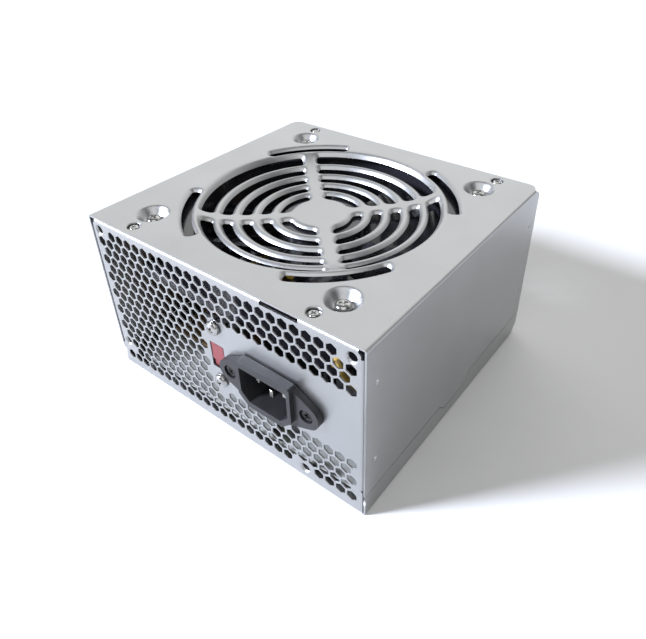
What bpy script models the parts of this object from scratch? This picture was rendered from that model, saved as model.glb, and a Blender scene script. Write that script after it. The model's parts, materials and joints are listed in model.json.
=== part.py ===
"""A computer power supply unit in the standard 150 x 140 x 86 mm case.

The case is two folded sheets. The chassis carries the honeycomb inlet panel, the bottom and the
front panel, and the cover carries the stamped fan grille and both sides. The fan hangs under the
cover, and the circuit board stands on four bosses pressed up from the bottom.

Frame: +X to the right as one faces the inlet panel, +Y away from it, +Z up. The origin is the
centre of the underside. Lengths below are in millimetres, and every mesh is scaled to metres.
"""
import math

import bmesh
import bpy
from mathutils import Vector

MM = 0.001
GAP = 0.3

# Clearance hole for a machine screw
CLEAR_R = 1.7

# Case
CASE_W = 150.0
CASE_D = 140.0
CASE_H = 86.0
SHEET = 0.8
BEND = 1.2
HALF_W = CASE_W / 2
HALF_D = CASE_D / 2
PANEL_TOP = CASE_H - SHEET - GAP
PANEL_HALF = HALF_W - SHEET - GAP
TAB_LOW = 14.0
TAB_HIGH = 81.0
TAB_DEPTH = 8.0
FLANGE_DEPTH = 10.2
FLANGE_DIMPLE_R = 3.6
THREAD_R = 1.4
THREAD_DROP = 1.3
CORNER_CUT = 4.0
REAR_CUT = 2.0

# Seam between the chassis's side flange and the cover: height above the underside along Y
SEAM = ((-69.7, 11.2), (-12.6, 11.2), (-8.6, 7.2), (10.6, 7.2), (14.2, 12.7), (69.7, 12.7))

# Honeycomb of the inlet panel
HEX_PITCH = 5.5
HEX_FLATS = 4.5
HEX_ROWS = 16
HEX_TOP_ROW = 79.2
HEX_REACH = 69.0

# Plain parts of the inlet panel: (low x, low z, high x, high z) and (x, z, radius)
BLANK_BOXES = ((-7.0, 29.0, HALF_W, 58.0), (-3.0, 58.0, HALF_W, 62.5), (-7.0, 25.0, 38.5, 29.0))
BLANK_CIRCLES = ((0.5, 59.0, 6.0), (0.5, 30.0, 8.2))
MOUNT_BLANK_R = 5.2

# Mounting screw holes of the inlet panel: (x, z)
MOUNT_HOLES = ((-69.0, 80.0), (69.0, 80.0), (-69.0, 16.0), (45.0, 6.0))
MOUNT_HOLE_R = 1.9

# Slot in the fold at the top of the inlet panel, between two places along X
LATCH_SLOT = (28.0, 46.0)
LATCH_DROP = 0.6
LATCH_REACH = 1.0

# Mains inlet
INLET_X = 30.0
INLET_Z = 42.4
INLET_PROUD = 5.0
INLET_FLANGE = 2.8
INLET_HALF_W = 14.0
INLET_HALF_H = 11.25
INLET_BODY_HALF_W = 13.5
INLET_BODY_HALF_H = 9.8
INLET_CUT = 5.0
INLET_BODY_CUT = 4.4
SOCKET_CUT = 4.0
PANEL_CLEAR = 0.4
INLET_BACK = -54.0
INLET_SCREW_X = 20.0
SOCKET_HALF_W = 12.25
SOCKET_HALF_H = 8.25
SOCKET_DEPTH = 18.0
PIN_W = 2.0
PIN_H = 4.0
PIN_TIP = -70.6
PIN_END = -49.5
PIN_PLACES = {"line": (-7.0, 1.5), "neutral": (7.0, 1.5), "earth": (0.0, -2.5)}

# Voltage selector
SELECTOR_X = 0.0
SELECTOR_SCREW_X = 0.5
SELECTOR_SCREWS = (30.0, 59.0)
SELECTOR_OPEN_W = 7.6
SELECTOR_LOW = 36.2
SELECTOR_HIGH = 49.8
SLIDER_H = 9.0
WELL_DEPTH = 4.0

# Grille and fan
DISH_R = 56.2
DISH_DEPTH = 6.0
DISH_POWER = 5.5
SLOT_MID = 16.6
SLOT_PITCH = 8.7
SLOT_W = 4.4
SLOT_COUNT = 5
OUTER_SLOT_W = 5.2
SPOKE_W = 7.4
CORNER_SLOT = (57.6, 62.0)
CORNER_SLOT_HALF_ANGLE = math.radians(20.0)
FAN_SIZE = 120.0
FAN_H = 25.0
FAN_HOLES = 52.5
DIMPLE_R = 7.0
DIMPLE_DEPTH = 4.0
DIMPLE_FLOOR_R = 4.2
DIMPLE_HOLE_R = 2.6
FAN_TOP = CASE_H - DIMPLE_DEPTH - SHEET - GAP
FAN_LOW = FAN_TOP - FAN_H
FAN_BORE = 57.3
BLADES = 9
BLADE_TIP = 55.0
HUB_R = 20.0
HUB_WALL = 1.6
HUB_TOP = 77.5

# Cover screws: (x, y), and the rim of the countersink round each
SINK_R = 3.1
SINK_HOLE_R = 1.8
COVER_SCREWS = ((-50.0, -64.5), (48.8, -64.5), (55.8, 64.5), (-55.5, 64.5))

# Circuit board
BOARD_X = 66.0
BOARD_REAR = -44.0
BOARD_FRONT = 62.0
BOARD_LOW = 7.3
BOARD_T = 1.6
BOARD_TOP = BOARD_LOW + BOARD_T
PART_LOW = BOARD_TOP + GAP
BOARD_HOLES = ((-61.0, -37.0), (61.0, -37.0), (-61.0, 56.0), (61.0, 56.0))
INSULATION_REAR = -64.0
EARTH_FOOT = (24.0, -57.5)
BOSS_H = 6.2
BOSS_R = 7.0
BOSS_TOP_R = 4.0

# Cable outlet and air vents of the front panel
OUTLET_X = -45.0
OUTLET_Z = 45.0
OUTLET_R = 13.0
VENT_PLACES = range(0, 57, 8)
VENT_W = 3.0
VENT_LOW = 30.0
VENT_HIGH = 60.0

# Heatsinks: the X of each one's bare face, its reach along Y, and its top
PRIMARY_SINK_X = 17.0
SECONDARY_SINK_X = -33.0
SINK_REAR = -24.0
SINK_FRONT = 42.0
SINK_TOP = 48.0
SINK_FINS = 9
SINK_PLATE_T = 3.0
FIN_L = 4.3
TRANSISTOR_PLACES = (-12.0, 32.0)
TRANSISTOR_HALF_W = 5.0

# Capacitors: (x, y)
BULK_CAPACITORS = ((38.0, -10.0), (38.0, 16.0))
OUTPUT_CAPACITORS = ((-60.0, 18.0), (-47.5, 18.0), (-60.0, 31.0), (-47.5, 31.0))

# Output choke, a wound ring that lies flat
CHOKE_PLACE = (-54.0, -8.0, 0.0)
CHOKE_R = 9.0
CHOKE_COIL = (4.5, 6.5)

COLOURS = {
    "zinc_steel": ((0.60, 0.62, 0.64), 0.38, 1.0),
    "bright_steel": ((0.72, 0.72, 0.72), 0.22, 1.0),
    "black_fan_plastic": ((0.02, 0.02, 0.022), 0.35, 0.0),
    "black_inlet_plastic": ((0.045, 0.045, 0.05), 0.5, 0.0),
    "red_plastic": ((0.62, 0.05, 0.05), 0.35, 0.0),
    "grey_plastic": ((0.12, 0.12, 0.12), 0.5, 0.0),
    "nickel_pin": ((0.78, 0.76, 0.70), 0.2, 1.0),
    "board_laminate": ((0.36, 0.25, 0.12), 0.55, 0.0),
    "insulation": ((0.75, 0.75, 0.70), 0.5, 0.0),
    "aluminium": ((0.66, 0.67, 0.68), 0.35, 1.0),
    "capacitor_sleeve": ((0.02, 0.03, 0.06), 0.3, 0.0),
    "yellow_plastic": ((0.70, 0.50, 0.08), 0.4, 0.0),
    "component_black": ((0.03, 0.03, 0.03), 0.5, 0.0),
    "ferrite": ((0.07, 0.07, 0.075), 0.6, 0.0),
    "copper_wire": ((0.72, 0.36, 0.16), 0.3, 1.0),
    "iron_powder": ((0.55, 0.50, 0.12), 0.5, 0.0),
    "glass_fuse": ((0.80, 0.82, 0.80), 0.15, 0.0),
    "brown_lead": ((0.16, 0.06, 0.02), 0.45, 0.0),
    "black_steel": ((0.06, 0.06, 0.06), 0.35, 1.0),
    "black_lead": ((0.03, 0.03, 0.03), 0.45, 0.0),
    "green_lead": ((0.10, 0.36, 0.05), 0.45, 0.0),
    "yellow_lead": ((0.75, 0.55, 0.06), 0.45, 0.0),
}


def clear_scene():
    for obj in list(bpy.data.objects):
        bpy.data.objects.remove(obj, do_unlink=True)


def material(slot):
    found = bpy.data.materials.get(slot)
    if found:
        return found
    colour, roughness, metallic = COLOURS[slot]
    made = bpy.data.materials.new(slot)
    made.use_nodes = True
    shader = made.node_tree.nodes["Principled BSDF"]
    shader.inputs["Base Color"].default_value = (*colour, 1.0)
    shader.inputs["Roughness"].default_value = roughness
    shader.inputs["Metallic"].default_value = metallic
    made.diffuse_color = (*colour, 1.0)
    return made


# ---------------------------------------------------------------------------------------------
# Outlines: lists of (u, v) points


def circle(x, y, radius, sides=16, turn=0.0):
    return [(x + radius * math.cos(turn + 2 * math.pi * i / sides),
             y + radius * math.sin(turn + 2 * math.pi * i / sides)) for i in range(sides)]


def rectangle(low_x, low_y, high_x, high_y):
    return [(low_x, low_y), (high_x, low_y), (high_x, high_y), (low_x, high_y)]


def arc(x, y, radius, start, end, steps):
    return [(x + radius * math.cos(start + (end - start) * i / steps),
             y + radius * math.sin(start + (end - start) * i / steps)) for i in range(steps + 1)]


def cut_corner_box(x, z, half_w, half_h, cut):
    """A rectangle whose two lower corners are cut at 45 degrees."""
    return [(x - half_w + cut, z - half_h), (x + half_w - cut, z - half_h),
            (x + half_w, z - half_h + cut), (x + half_w, z + half_h),
            (x - half_w, z + half_h), (x - half_w, z - half_h + cut)]


def curved_slot(inner, outer, middle, half_angle, steps=8, end_steps=3):
    """A slot along a circle about the origin, with round ends."""
    radius = (outer - inner) / 2
    mid = (outer + inner) / 2
    start = middle - half_angle
    end = middle + half_angle
    points = arc(0, 0, outer, start, end, steps)
    points += arc(mid * math.cos(end), mid * math.sin(end), radius, end, end + math.pi, end_steps)[1:-1]
    points += arc(0, 0, inner, end, start, steps)
    low = start + math.pi
    points += arc(mid * math.cos(start), mid * math.sin(start), radius, low, low + math.pi, end_steps)[1:-1]
    return points


# ---------------------------------------------------------------------------------------------
# Solids


def finish(name, bm, slot, smooth=True):
    """Scale a mesh from millimetres to metres and make it the object called name."""
    bmesh.ops.scale(bm, vec=(MM, MM, MM), verts=bm.verts)
    mesh = bpy.data.meshes.new(name)
    bm.to_mesh(mesh)
    bm.free()
    mesh.materials.append(material(slot))
    if smooth:
        mesh.shade_smooth()
        mesh.set_sharp_from_angle(angle=math.radians(35))
    obj = bpy.data.objects.new(name, mesh)
    bpy.context.collection.objects.link(obj)
    return obj


def move_origin(obj, place):
    """Put an object's origin at a place in millimetres, and leave its shape where it is."""
    offset = Vector(place) * MM
    for vertex in obj.data.vertices:
        vertex.co -= offset
    obj.location = offset


def loop_edges(bm, points):
    verts = [bm.verts.new(p) for p in points]
    return [bm.edges.new((verts[i - 1], verts[i])) for i in range(len(verts))]


def panel(bm, loops, place):
    """Fill a flat panel. The first loop is its outline, and the others are its holes."""
    edges = []
    for loop in loops:
        edges += loop_edges(bm, [place(u, v) for u, v in loop])
    bmesh.ops.triangle_fill(bm, use_beauty=True, edges=edges)


def extrude(bm, loops, place, travel):
    """A solid plate: the panel's face and its copy at the vector travel, joined by walls."""
    before = set(bm.verts)
    panel(bm, loops, place)
    faces = [f for f in bm.faces if all(v not in before for v in f.verts)]
    made = bmesh.ops.extrude_face_region(bm, geom=faces, use_keep_orig=True)
    moved = [g for g in made["geom"] if isinstance(g, bmesh.types.BMVert)]
    bmesh.ops.translate(bm, vec=travel, verts=moved)
    own = [f for f in bm.faces if all(v not in before for v in f.verts)]
    bmesh.ops.recalc_face_normals(bm, faces=own)


def plate(name, loops, low, high, slot, axis="Z"):
    """An outline with holes, extruded from low to high along an axis."""
    bm = bmesh.new()
    add_plate(bm, loops, low, high, axis)
    return finish(name, bm, slot)


def add_plate(bm, loops, low, high, axis="Z"):
    places = {
        "Z": lambda u, v: (u, v, low),
        "Y": lambda u, v: (u, low, v),
        "X": lambda u, v: (low, u, v),
    }
    travels = {"Z": (0, 0, high - low), "Y": (0, high - low, 0), "X": (high - low, 0, 0)}
    extrude(bm, loops, places[axis], travels[axis])


def add_turned(bm, profile, centre=(0, 0, 0), axis="Z", sides=16):
    """Turn a closed (radius, height) profile about an axis through centre."""
    centre = Vector(centre)
    frames = {
        "Z": (Vector((1, 0, 0)), Vector((0, 1, 0)), Vector((0, 0, 1))),
        "Y": (Vector((0, 0, 1)), Vector((1, 0, 0)), Vector((0, 1, 0))),
        "X": (Vector((0, 1, 0)), Vector((0, 0, 1)), Vector((1, 0, 0))),
    }
    across, over, along = frames[axis]
    rings = []
    for radius, height in profile:
        if radius == 0:
            rings.append([bm.verts.new(centre + along * height)])
            continue
        ring = []
        for i in range(sides):
            angle = 2 * math.pi * i / sides
            spoke = across * math.cos(angle) + over * math.sin(angle)
            ring.append(bm.verts.new(centre + spoke * radius + along * height))
        rings.append(ring)
    faces = []
    closed = profile[0][0] != 0
    pairs = zip(rings, rings[1:] + rings[:1]) if closed else zip(rings, rings[1:])
    for one, two in pairs:
        for i in range(sides):
            j = (i + 1) % sides
            corners = [one[i % len(one)], one[j % len(one)], two[j % len(two)], two[i % len(two)]]
            faces.append(bm.faces.new(list(dict.fromkeys(corners))))
    bmesh.ops.recalc_face_normals(bm, faces=faces)


def turned(name, profile, slot, centre=(0, 0, 0), axis="Z", sides=16):
    bm = bmesh.new()
    add_turned(bm, profile, centre, axis, sides)
    return finish(name, bm, slot)


def guide(bm, name):
    """A hidden solid that only shapes another one."""
    obj = finish(name, bm, "grey_plastic", smooth=False)
    obj.hide_render = True
    obj.display_type = "WIRE"
    return obj


def combine(target, bm, operation):
    """Join a solid to the target, or cut it away."""
    tool = guide(bm, target.name + "_" + operation.lower())
    modifier = target.modifiers.new(operation.lower(), "BOOLEAN")
    modifier.operation = operation
    modifier.solver = "EXACT"
    modifier.use_self = True
    modifier.object = tool


def lead(name, knots, radius, slot):
    """A round wire along a smooth curve through its knots."""
    steps = 3
    ends = [tuple(2 * a - b for a, b in zip(knots[0], knots[1]))]
    ends += list(knots) + [tuple(2 * a - b for a, b in zip(knots[-1], knots[-2]))]
    points = []
    for k in range(1, len(ends) - 2):
        before, start, end, after = (Vector(p) for p in ends[k - 1:k + 3])
        for i in range(steps):
            t = i / steps
            points.append(0.5 * (2 * start + (end - before) * t
                                 + (2 * before - 5 * start + 4 * end - after) * t ** 2
                                 + (3 * start - before - 3 * end + after) * t ** 3))
    points.append(Vector(knots[-1]))
    curve = bpy.data.curves.new(name, "CURVE")
    curve.dimensions = "3D"
    curve.bevel_depth = radius * MM
    curve.bevel_resolution = 2
    curve.use_fill_caps = True
    spline = curve.splines.new("POLY")
    spline.points.add(len(points) - 1)
    for point, place in zip(spline.points, points):
        point.co = (*(place * MM), 1.0)
    curve.materials.append(material(slot))
    obj = bpy.data.objects.new(name, curve)
    bpy.context.collection.objects.link(obj)
    return obj


# ---------------------------------------------------------------------------------------------
# Folded sheets: each is drawn as its outer surface and thickened inwards


def fold(bm, near, far, over, turn, steps=3):
    """Round the fold from a panel's edge near-far. over points off the edge, and turn points
    the way that the next panel runs."""
    rows = []
    for i in range(steps + 1):
        angle = math.radians(90 * i / steps)
        step = Vector(over) * math.sin(angle) * BEND + Vector(turn) * (1 - math.cos(angle)) * BEND
        rows.append((bm.verts.new(Vector(near) + step), bm.verts.new(Vector(far) + step)))
    for one, two in zip(rows, rows[1:]):
        bm.faces.new((one[0], one[1], two[1], two[0]))


def dimple(bm, x, y, levels, sides=12):
    """A pressed cone in a flat panel: its (radius, z) levels run from its rim to its hole."""
    rings = [[bm.verts.new((u, v, z)) for u, v in circle(x, y, r, sides)] for r, z in levels]
    for one, two in zip(rings, rings[1:]):
        for i in range(sides):
            bm.faces.new((one[i - 1], one[i], two[i], two[i - 1]))


def sheet(name, bm, outward_face, outward):
    """Close a drawn surface into one sheet of metal, with its material on the inner side."""
    bmesh.ops.remove_doubles(bm, verts=bm.verts, dist=0.001)
    bmesh.ops.recalc_face_normals(bm, faces=bm.faces)
    nearest = min(bm.faces, key=lambda f: (f.calc_center_median() - Vector(outward_face)).length)
    if nearest.normal.dot(Vector(outward)) < 0:
        bmesh.ops.reverse_faces(bm, faces=bm.faces)
    obj = finish(name, bm, "zinc_steel")
    thick = obj.modifiers.new("thickness", "SOLIDIFY")
    thick.thickness = SHEET * MM
    thick.offset = -1.0
    thick.use_even_offset = True
    thick.use_quality_normals = True
    return obj


def honeycomb():
    """The hexagonal holes of the inlet panel, left out around the fittings."""
    blank_circles = [(x, z, MOUNT_BLANK_R) for x, z in MOUNT_HOLES]
    blank_circles += BLANK_CIRCLES
    columns = int(HALF_W / HEX_PITCH)
    holes = []
    for row in range(HEX_ROWS):
        z = HEX_TOP_ROW - row * HEX_PITCH * math.sqrt(3) / 2
        shift = HEX_PITCH / 2 if row % 2 else 0.0
        for column in range(-columns, columns):
            x = column * HEX_PITCH + shift
            near_circle = any(math.hypot(x - cx, z - cz) < r for cx, cz, r in blank_circles)
            in_box = any(x0 < x < x1 and z0 < z < z1 for x0, z0, x1, z1 in BLANK_BOXES)
            if abs(x) < HEX_REACH and not near_circle and not in_box:
                holes.append(circle(x, z, HEX_FLATS / 2 / math.cos(math.pi / 6), 6, math.pi / 2))
    return holes


def end_panel_outline(low_half, low_cut, latch):
    """The outline of the inlet panel or the front panel, with its fold lines."""
    top = PANEL_TOP - BEND
    inner = PANEL_HALF - BEND
    right = [(low_half, BEND), (PANEL_HALF, BEND + low_cut), (PANEL_HALF, TAB_LOW - SHEET),
             (inner, TAB_LOW), (inner, TAB_HIGH), (inner, top - BEND), (inner - BEND, top)]
    left = [(-x, z) for x, z in reversed(right)]
    notch = []
    if latch:
        floor = top - LATCH_DROP
        notch = [(latch[1], top), (latch[1], floor), (latch[0], floor), (latch[0], top)]
    return right + notch + left


def top_flange(bm, side, holes, latch):
    """The lip folded in from the top of an end panel, which the cover screws bite into."""
    edge = side * (HALF_D - BEND)
    inner = side * (HALF_D - FLANGE_DEPTH)
    end = PANEL_HALF - 2 * BEND
    outline = [(-end, edge), (-end, inner), (end, inner), (end, edge)]
    spans = [(-end, end)]
    if latch:
        notch = edge - side * LATCH_REACH
        outline += [(latch[1], edge), (latch[1], notch), (latch[0], notch), (latch[0], edge)]
        spans = [(-end, latch[0]), (latch[1], end)]
    rims = [circle(x, y, FLANGE_DIMPLE_R, 12) for x, y in holes]
    panel(bm, [outline] + rims, lambda u, v: (u, v, PANEL_TOP))
    for x, y in holes:
        dimple(bm, x, y, ((FLANGE_DIMPLE_R, PANEL_TOP), (THREAD_R, PANEL_TOP - THREAD_DROP)))
    for low, high in spans:
        wall = side * HALF_D
        fold(bm, (low, wall, PANEL_TOP - BEND), (high, wall, PANEL_TOP - BEND), (0, 0, 1), (0, -side, 0))


def side_tabs(bm, side):
    """The returns folded in from an end panel's two side edges, just inside the cover's sides."""
    wall = side * HALF_D
    edge = side * (HALF_D - BEND)
    inner = side * (HALF_D - TAB_DEPTH)
    outline = [(edge, TAB_LOW), (inner, TAB_LOW + 3), (inner, TAB_HIGH - 3), (edge, TAB_HIGH)]
    for hand in (-1, 1):
        x = hand * PANEL_HALF
        start = hand * (PANEL_HALF - BEND)
        panel(bm, [outline], lambda u, v: (x, u, v))
        fold(bm, (start, wall, TAB_LOW), (start, wall, TAB_HIGH), (hand, 0, 0), (0, -side, 0))


def chassis_bottom(bm):
    rear_half = PANEL_HALF - REAR_CUT
    front_half = PANEL_HALF - CORNER_CUT
    side = HALF_W - BEND
    side_rear = SEAM[0][0]
    side_front = HALF_D - 5.0
    right = [(rear_half, BEND - HALF_D), (side, side_rear), (side, side_front), (front_half, HALF_D - BEND)]
    left = [(-x, y) for x, y in reversed(right)]
    rims = [circle(x, y, BOSS_R, 12) for x, y in BOARD_HOLES]
    panel(bm, [right + left] + rims, lambda u, v: (u, v, 0.0))
    for x, y in BOARD_HOLES:
        dimple(bm, x, y, ((BOSS_R, 0.0), (BOSS_TOP_R, BOSS_H), (CLEAR_R, BOSS_H)))
    fold(bm, (-rear_half, BEND - HALF_D, 0), (rear_half, BEND - HALF_D, 0), (0, -1, 0), (0, 0, 1))
    fold(bm, (-front_half, HALF_D - BEND, 0), (front_half, HALF_D - BEND, 0), (0, 1, 0), (0, 0, 1))
    front_corner = BEND + SEAM[-1][0] - side_front
    flange = [(side_rear, BEND), (side_front, BEND), (SEAM[-1][0], front_corner)] + list(reversed(SEAM))
    for hand in (-1, 1):
        panel(bm, [flange], lambda u, v: (hand * HALF_W, u, v))
        fold(bm, (hand * side, side_rear, 0), (hand * side, side_front, 0), (hand, 0, 0), (0, 0, 1))


def base_chassis():
    bm = bmesh.new()
    chassis_bottom(bm)
    inlet_cut = cut_corner_box(INLET_X, INLET_Z, INLET_BODY_HALF_W + PANEL_CLEAR,
                               INLET_BODY_HALF_H + PANEL_CLEAR, INLET_BODY_CUT)
    selector_half = (SELECTOR_OPEN_W + PANEL_CLEAR) / 2
    selector_cut = rectangle(SELECTOR_X - selector_half, SELECTOR_LOW, SELECTOR_X + selector_half,
                             SELECTOR_HIGH)
    fittings = [inlet_cut, selector_cut]
    fittings += [circle(x, z, MOUNT_HOLE_R, 12) for x, z in MOUNT_HOLES]
    fittings += [circle(INLET_X + side * INLET_SCREW_X, INLET_Z, CLEAR_R, 10) for side in (-1, 1)]
    fittings += [circle(SELECTOR_SCREW_X, z, CLEAR_R, 10) for z in SELECTOR_SCREWS]
    rear_outline = end_panel_outline(PANEL_HALF - REAR_CUT, 0.0, LATCH_SLOT)
    panel(bm, [rear_outline] + fittings + honeycomb(), lambda u, v: (u, -HALF_D, v))
    vents = [rectangle(x - VENT_W / 2, VENT_LOW, x + VENT_W / 2, VENT_HIGH) for x in VENT_PLACES]
    front_outline = end_panel_outline(PANEL_HALF - CORNER_CUT, CORNER_CUT, None)
    outlet = circle(OUTLET_X, OUTLET_Z, OUTLET_R, 24)
    panel(bm, [front_outline, outlet] + vents, lambda u, v: (u, HALF_D, v))
    top_flange(bm, -1, COVER_SCREWS[:2], LATCH_SLOT)
    top_flange(bm, 1, COVER_SCREWS[2:], None)
    side_tabs(bm, -1)
    side_tabs(bm, 1)
    return sheet("base_chassis", bm, (0, 0, 0), (0, 0, -1))


def dish_z(radius):
    """Height of the dished grille's outer surface."""
    return CASE_H - DISH_DEPTH * (1 - (radius / DISH_R) ** DISH_POWER)


def slot_radii():
    spans = []
    for i in range(SLOT_COUNT):
        middle = SLOT_MID + i * SLOT_PITCH
        width = OUTER_SLOT_W if i == SLOT_COUNT - 1 else SLOT_W
        spans.append((middle - width / 2, middle + width / 2))
    return spans


def grille_ring(bm, radius, steps):
    """One ring of points: each quarter has one step over the spoke and the rest over the slot."""
    spoke = math.asin(SPOKE_W / 2 / radius)
    ring = []
    for quarter in range(4):
        middle = quarter * math.pi / 2
        start = middle - math.pi / 4 + spoke
        span = math.pi / 2 - 2 * spoke
        for i in range(steps + 1):
            angle = start + span * i / steps
            ring.append(bm.verts.new((radius * math.cos(angle), radius * math.sin(angle), dish_z(radius))))
    return ring


def grille(bm, steps=8):
    """The dished centre of the cover: a hub and five rings of slots split by four spokes."""
    slots = slot_radii()
    radii = [r for span in slots for r in span] + [DISH_R]
    rings = [grille_ring(bm, r, steps) for r in radii]
    bm.faces.new(rings[0])
    count = len(rings[0])
    for k, (one, two) in enumerate(zip(rings, rings[1:])):
        for i in range(count):
            over_spoke = i % (steps + 1) == steps
            if k % 2 == 1 or over_spoke:
                j = (i + 1) % count
                bm.faces.new((one[i], one[j], two[j], two[i]))
    return [(v.co.x, v.co.y) for v in rings[-1]]


def cover_side(bm, hand):
    top = CASE_H - BEND
    seam = [(y, z + GAP) for y, z in SEAM]
    seam[0] = (-HALF_D, seam[0][1])
    seam[-1] = (HALF_D, seam[-1][1])
    outline = seam + [(HALF_D, top - CORNER_CUT), (HALF_D - CORNER_CUT, top), (-HALF_D, top)]
    panel(bm, [outline], lambda u, v: (hand * HALF_W, u, v))
    edge = hand * (HALF_W - BEND)
    fold(bm, (edge, -HALF_D, CASE_H), (edge, HALF_D - CORNER_CUT, CASE_H), (hand, 0, 0), (0, 0, -1))


def top_cover():
    bm = bmesh.new()
    rim = grille(bm)
    edge = HALF_W - BEND
    right = [(edge, -HALF_D), (edge, HALF_D - CORNER_CUT), (edge - CORNER_CUT, HALF_D)]
    outline = right + [(-x, y) for x, y in reversed(right)]
    loops = [outline, rim]
    for quarter in range(4):
        middle = math.pi / 4 + quarter * math.pi / 2
        loops.append(curved_slot(CORNER_SLOT[0], CORNER_SLOT[1], middle, CORNER_SLOT_HALF_ANGLE))
    fan_places = [(sx * FAN_HOLES, sy * FAN_HOLES) for sx in (-1, 1) for sy in (-1, 1)]
    for x, y in fan_places:
        loops.append(circle(x, y, DIMPLE_R, 12))
        floor = CASE_H - DIMPLE_DEPTH
        dimple(bm, x, y, ((DIMPLE_R, CASE_H), (DIMPLE_FLOOR_R, floor), (DIMPLE_HOLE_R, floor)))
    for x, y in COVER_SCREWS:
        loops.append(circle(x, y, SINK_R, 12))
        dimple(bm, x, y, ((SINK_R, CASE_H), (SINK_HOLE_R, CASE_H - SHEET)))
    panel(bm, loops, lambda u, v: (u, v, CASE_H))
    cover_side(bm, -1)
    cover_side(bm, 1)
    return sheet("top_cover", bm, (HALF_W - 8, 0, CASE_H), (0, 0, 1))


# ---------------------------------------------------------------------------------------------
# Fasteners


def cover_screws():
    top = CASE_H - 0.2
    profile = [(0, top), (2.5, top), (1.2, top - 0.8), (1.1, top - 1.0), (1.1, top - 6), (0, top - 6.6)]
    for i, (x, y) in enumerate(COVER_SCREWS):
        turned(f"cover_screw_{i + 1}", profile, "bright_steel", (x, y, 0), sides=10)


def fan_screws():
    seat = CASE_H - DIMPLE_DEPTH + GAP
    profile = [(0, seat + 2.2), (2.2, seat + 2.0), (3.3, seat + 0.9), (3.3, seat), (1.8, seat),
               (1.8, seat - 9), (0, seat - 10)]
    for i, (sx, sy) in enumerate(((-1, -1), (1, -1), (1, 1), (-1, 1))):
        centre = (sx * FAN_HOLES, sy * FAN_HOLES, 0)
        turned(f"fan_screw_{i + 1}", profile, "bright_steel", centre, sides=10)


def pan_screw(name, centre, length):
    """A pan-head screw that points along +Y from its seat at centre."""
    profile = [(0, -2.2), (2.2, -2.0), (3.4, -0.9), (3.4, 0), (1.4, 0), (1.4, length - 0.8),
               (0, length)]
    turned(name, profile, "bright_steel", centre, "Y", 10)


def inlet_screws():
    face = -HALF_D - GAP - INLET_FLANGE
    profile = [(0, 0.5), (2.8, 0.5), (2.8, 1.2), (1.3, 2.2), (1.3, 9.0), (0, 9.6)]
    for i, side in enumerate((-1, 1)):
        centre = (INLET_X + side * INLET_SCREW_X, face, INLET_Z)
        turned(f"inlet_screw_{i + 1}", profile, "black_steel", centre, "Y", 10)


def board_screws():
    seat = BOARD_TOP + GAP
    profile = [(0, seat + 1.8), (1.8, seat + 1.7), (2.8, seat + 0.8), (2.8, seat), (1.3, seat),
               (1.3, seat - 4), (0, seat - 4.6)]
    for i, (x, y) in enumerate(BOARD_HOLES):
        turned(f"board_screw_{i + 1}", profile, "bright_steel", (x, y, 0), sides=10)


# ---------------------------------------------------------------------------------------------
# Mains inlet and voltage selector


def inlet_flange_outline():
    right = arc(INLET_X + INLET_SCREW_X, INLET_Z, 6.0, math.radians(-60), math.radians(60), 6)
    left = arc(INLET_X - INLET_SCREW_X, INLET_Z, 6.0, math.radians(120), math.radians(240), 6)
    top = INLET_Z + INLET_HALF_H - 0.4
    low = INLET_Z - INLET_HALF_H + 0.4
    return right + [(INLET_X + 12.5, top), (INLET_X - 12.5, top)] + left + [
        (INLET_X - 9.5, low), (INLET_X + 9.5, low)]


def inlet_body():
    face = -HALF_D - GAP
    bm = bmesh.new()
    add_plate(bm, [inlet_flange_outline()], face - INLET_FLANGE, face, "Y")
    body = finish("inlet_body", bm, "black_inlet_plastic")
    core = bmesh.new()
    shroud = cut_corner_box(INLET_X, INLET_Z, INLET_HALF_W, INLET_HALF_H, INLET_CUT)
    add_plate(core, [shroud], -HALF_D - INLET_PROUD, face - 0.6, "Y")
    rear = cut_corner_box(INLET_X, INLET_Z, INLET_BODY_HALF_W, INLET_BODY_HALF_H, INLET_BODY_CUT)
    add_plate(core, [rear], face - 1.0, INLET_BACK, "Y")
    combine(body, core, "UNION")
    hollow = bmesh.new()
    socket = cut_corner_box(INLET_X, INLET_Z, SOCKET_HALF_W, SOCKET_HALF_H, SOCKET_CUT)
    mouth = -HALF_D - INLET_PROUD
    add_plate(hollow, [socket], mouth - 1, mouth + SOCKET_DEPTH, "Y")
    for x, z in PIN_PLACES.values():
        half_w = PIN_W / 2 + GAP
        half_h = PIN_H / 2 + GAP
        pin_x = INLET_X + x
        pin_z = INLET_Z + z
        slot = rectangle(pin_x - half_w, pin_z - half_h, pin_x + half_w, pin_z + half_h)
        add_plate(hollow, [slot], mouth + SOCKET_DEPTH - 0.5, INLET_BACK + 1, "Y")
    for side in (-1, 1):
        sink = [(0, -1.0), (3.2, -1.0), (3.2, 1.5), (1.7, 2.5), (1.7, 5.0), (0, 5.0)]
        centre = (INLET_X + side * INLET_SCREW_X, face - INLET_FLANGE, INLET_Z)
        add_turned(hollow, sink, centre, "Y", 12)
    combine(body, hollow, "DIFFERENCE")
    return body


def inlet_pins():
    for name, (x, z) in PIN_PLACES.items():
        low_x = INLET_X + x - PIN_W / 2
        outline = [(PIN_TIP + 0.8, -PIN_H / 2), (PIN_END, -PIN_H / 2), (PIN_END, PIN_H / 2),
                   (PIN_TIP + 0.8, PIN_H / 2), (PIN_TIP, PIN_H / 2 - 0.8), (PIN_TIP, 0.8 - PIN_H / 2)]
        shifted = [(y, INLET_Z + z + dz) for y, dz in outline]
        plate("inlet_pin_" + name, [shifted], low_x, low_x + PIN_W, "nickel_pin", "X")


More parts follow.
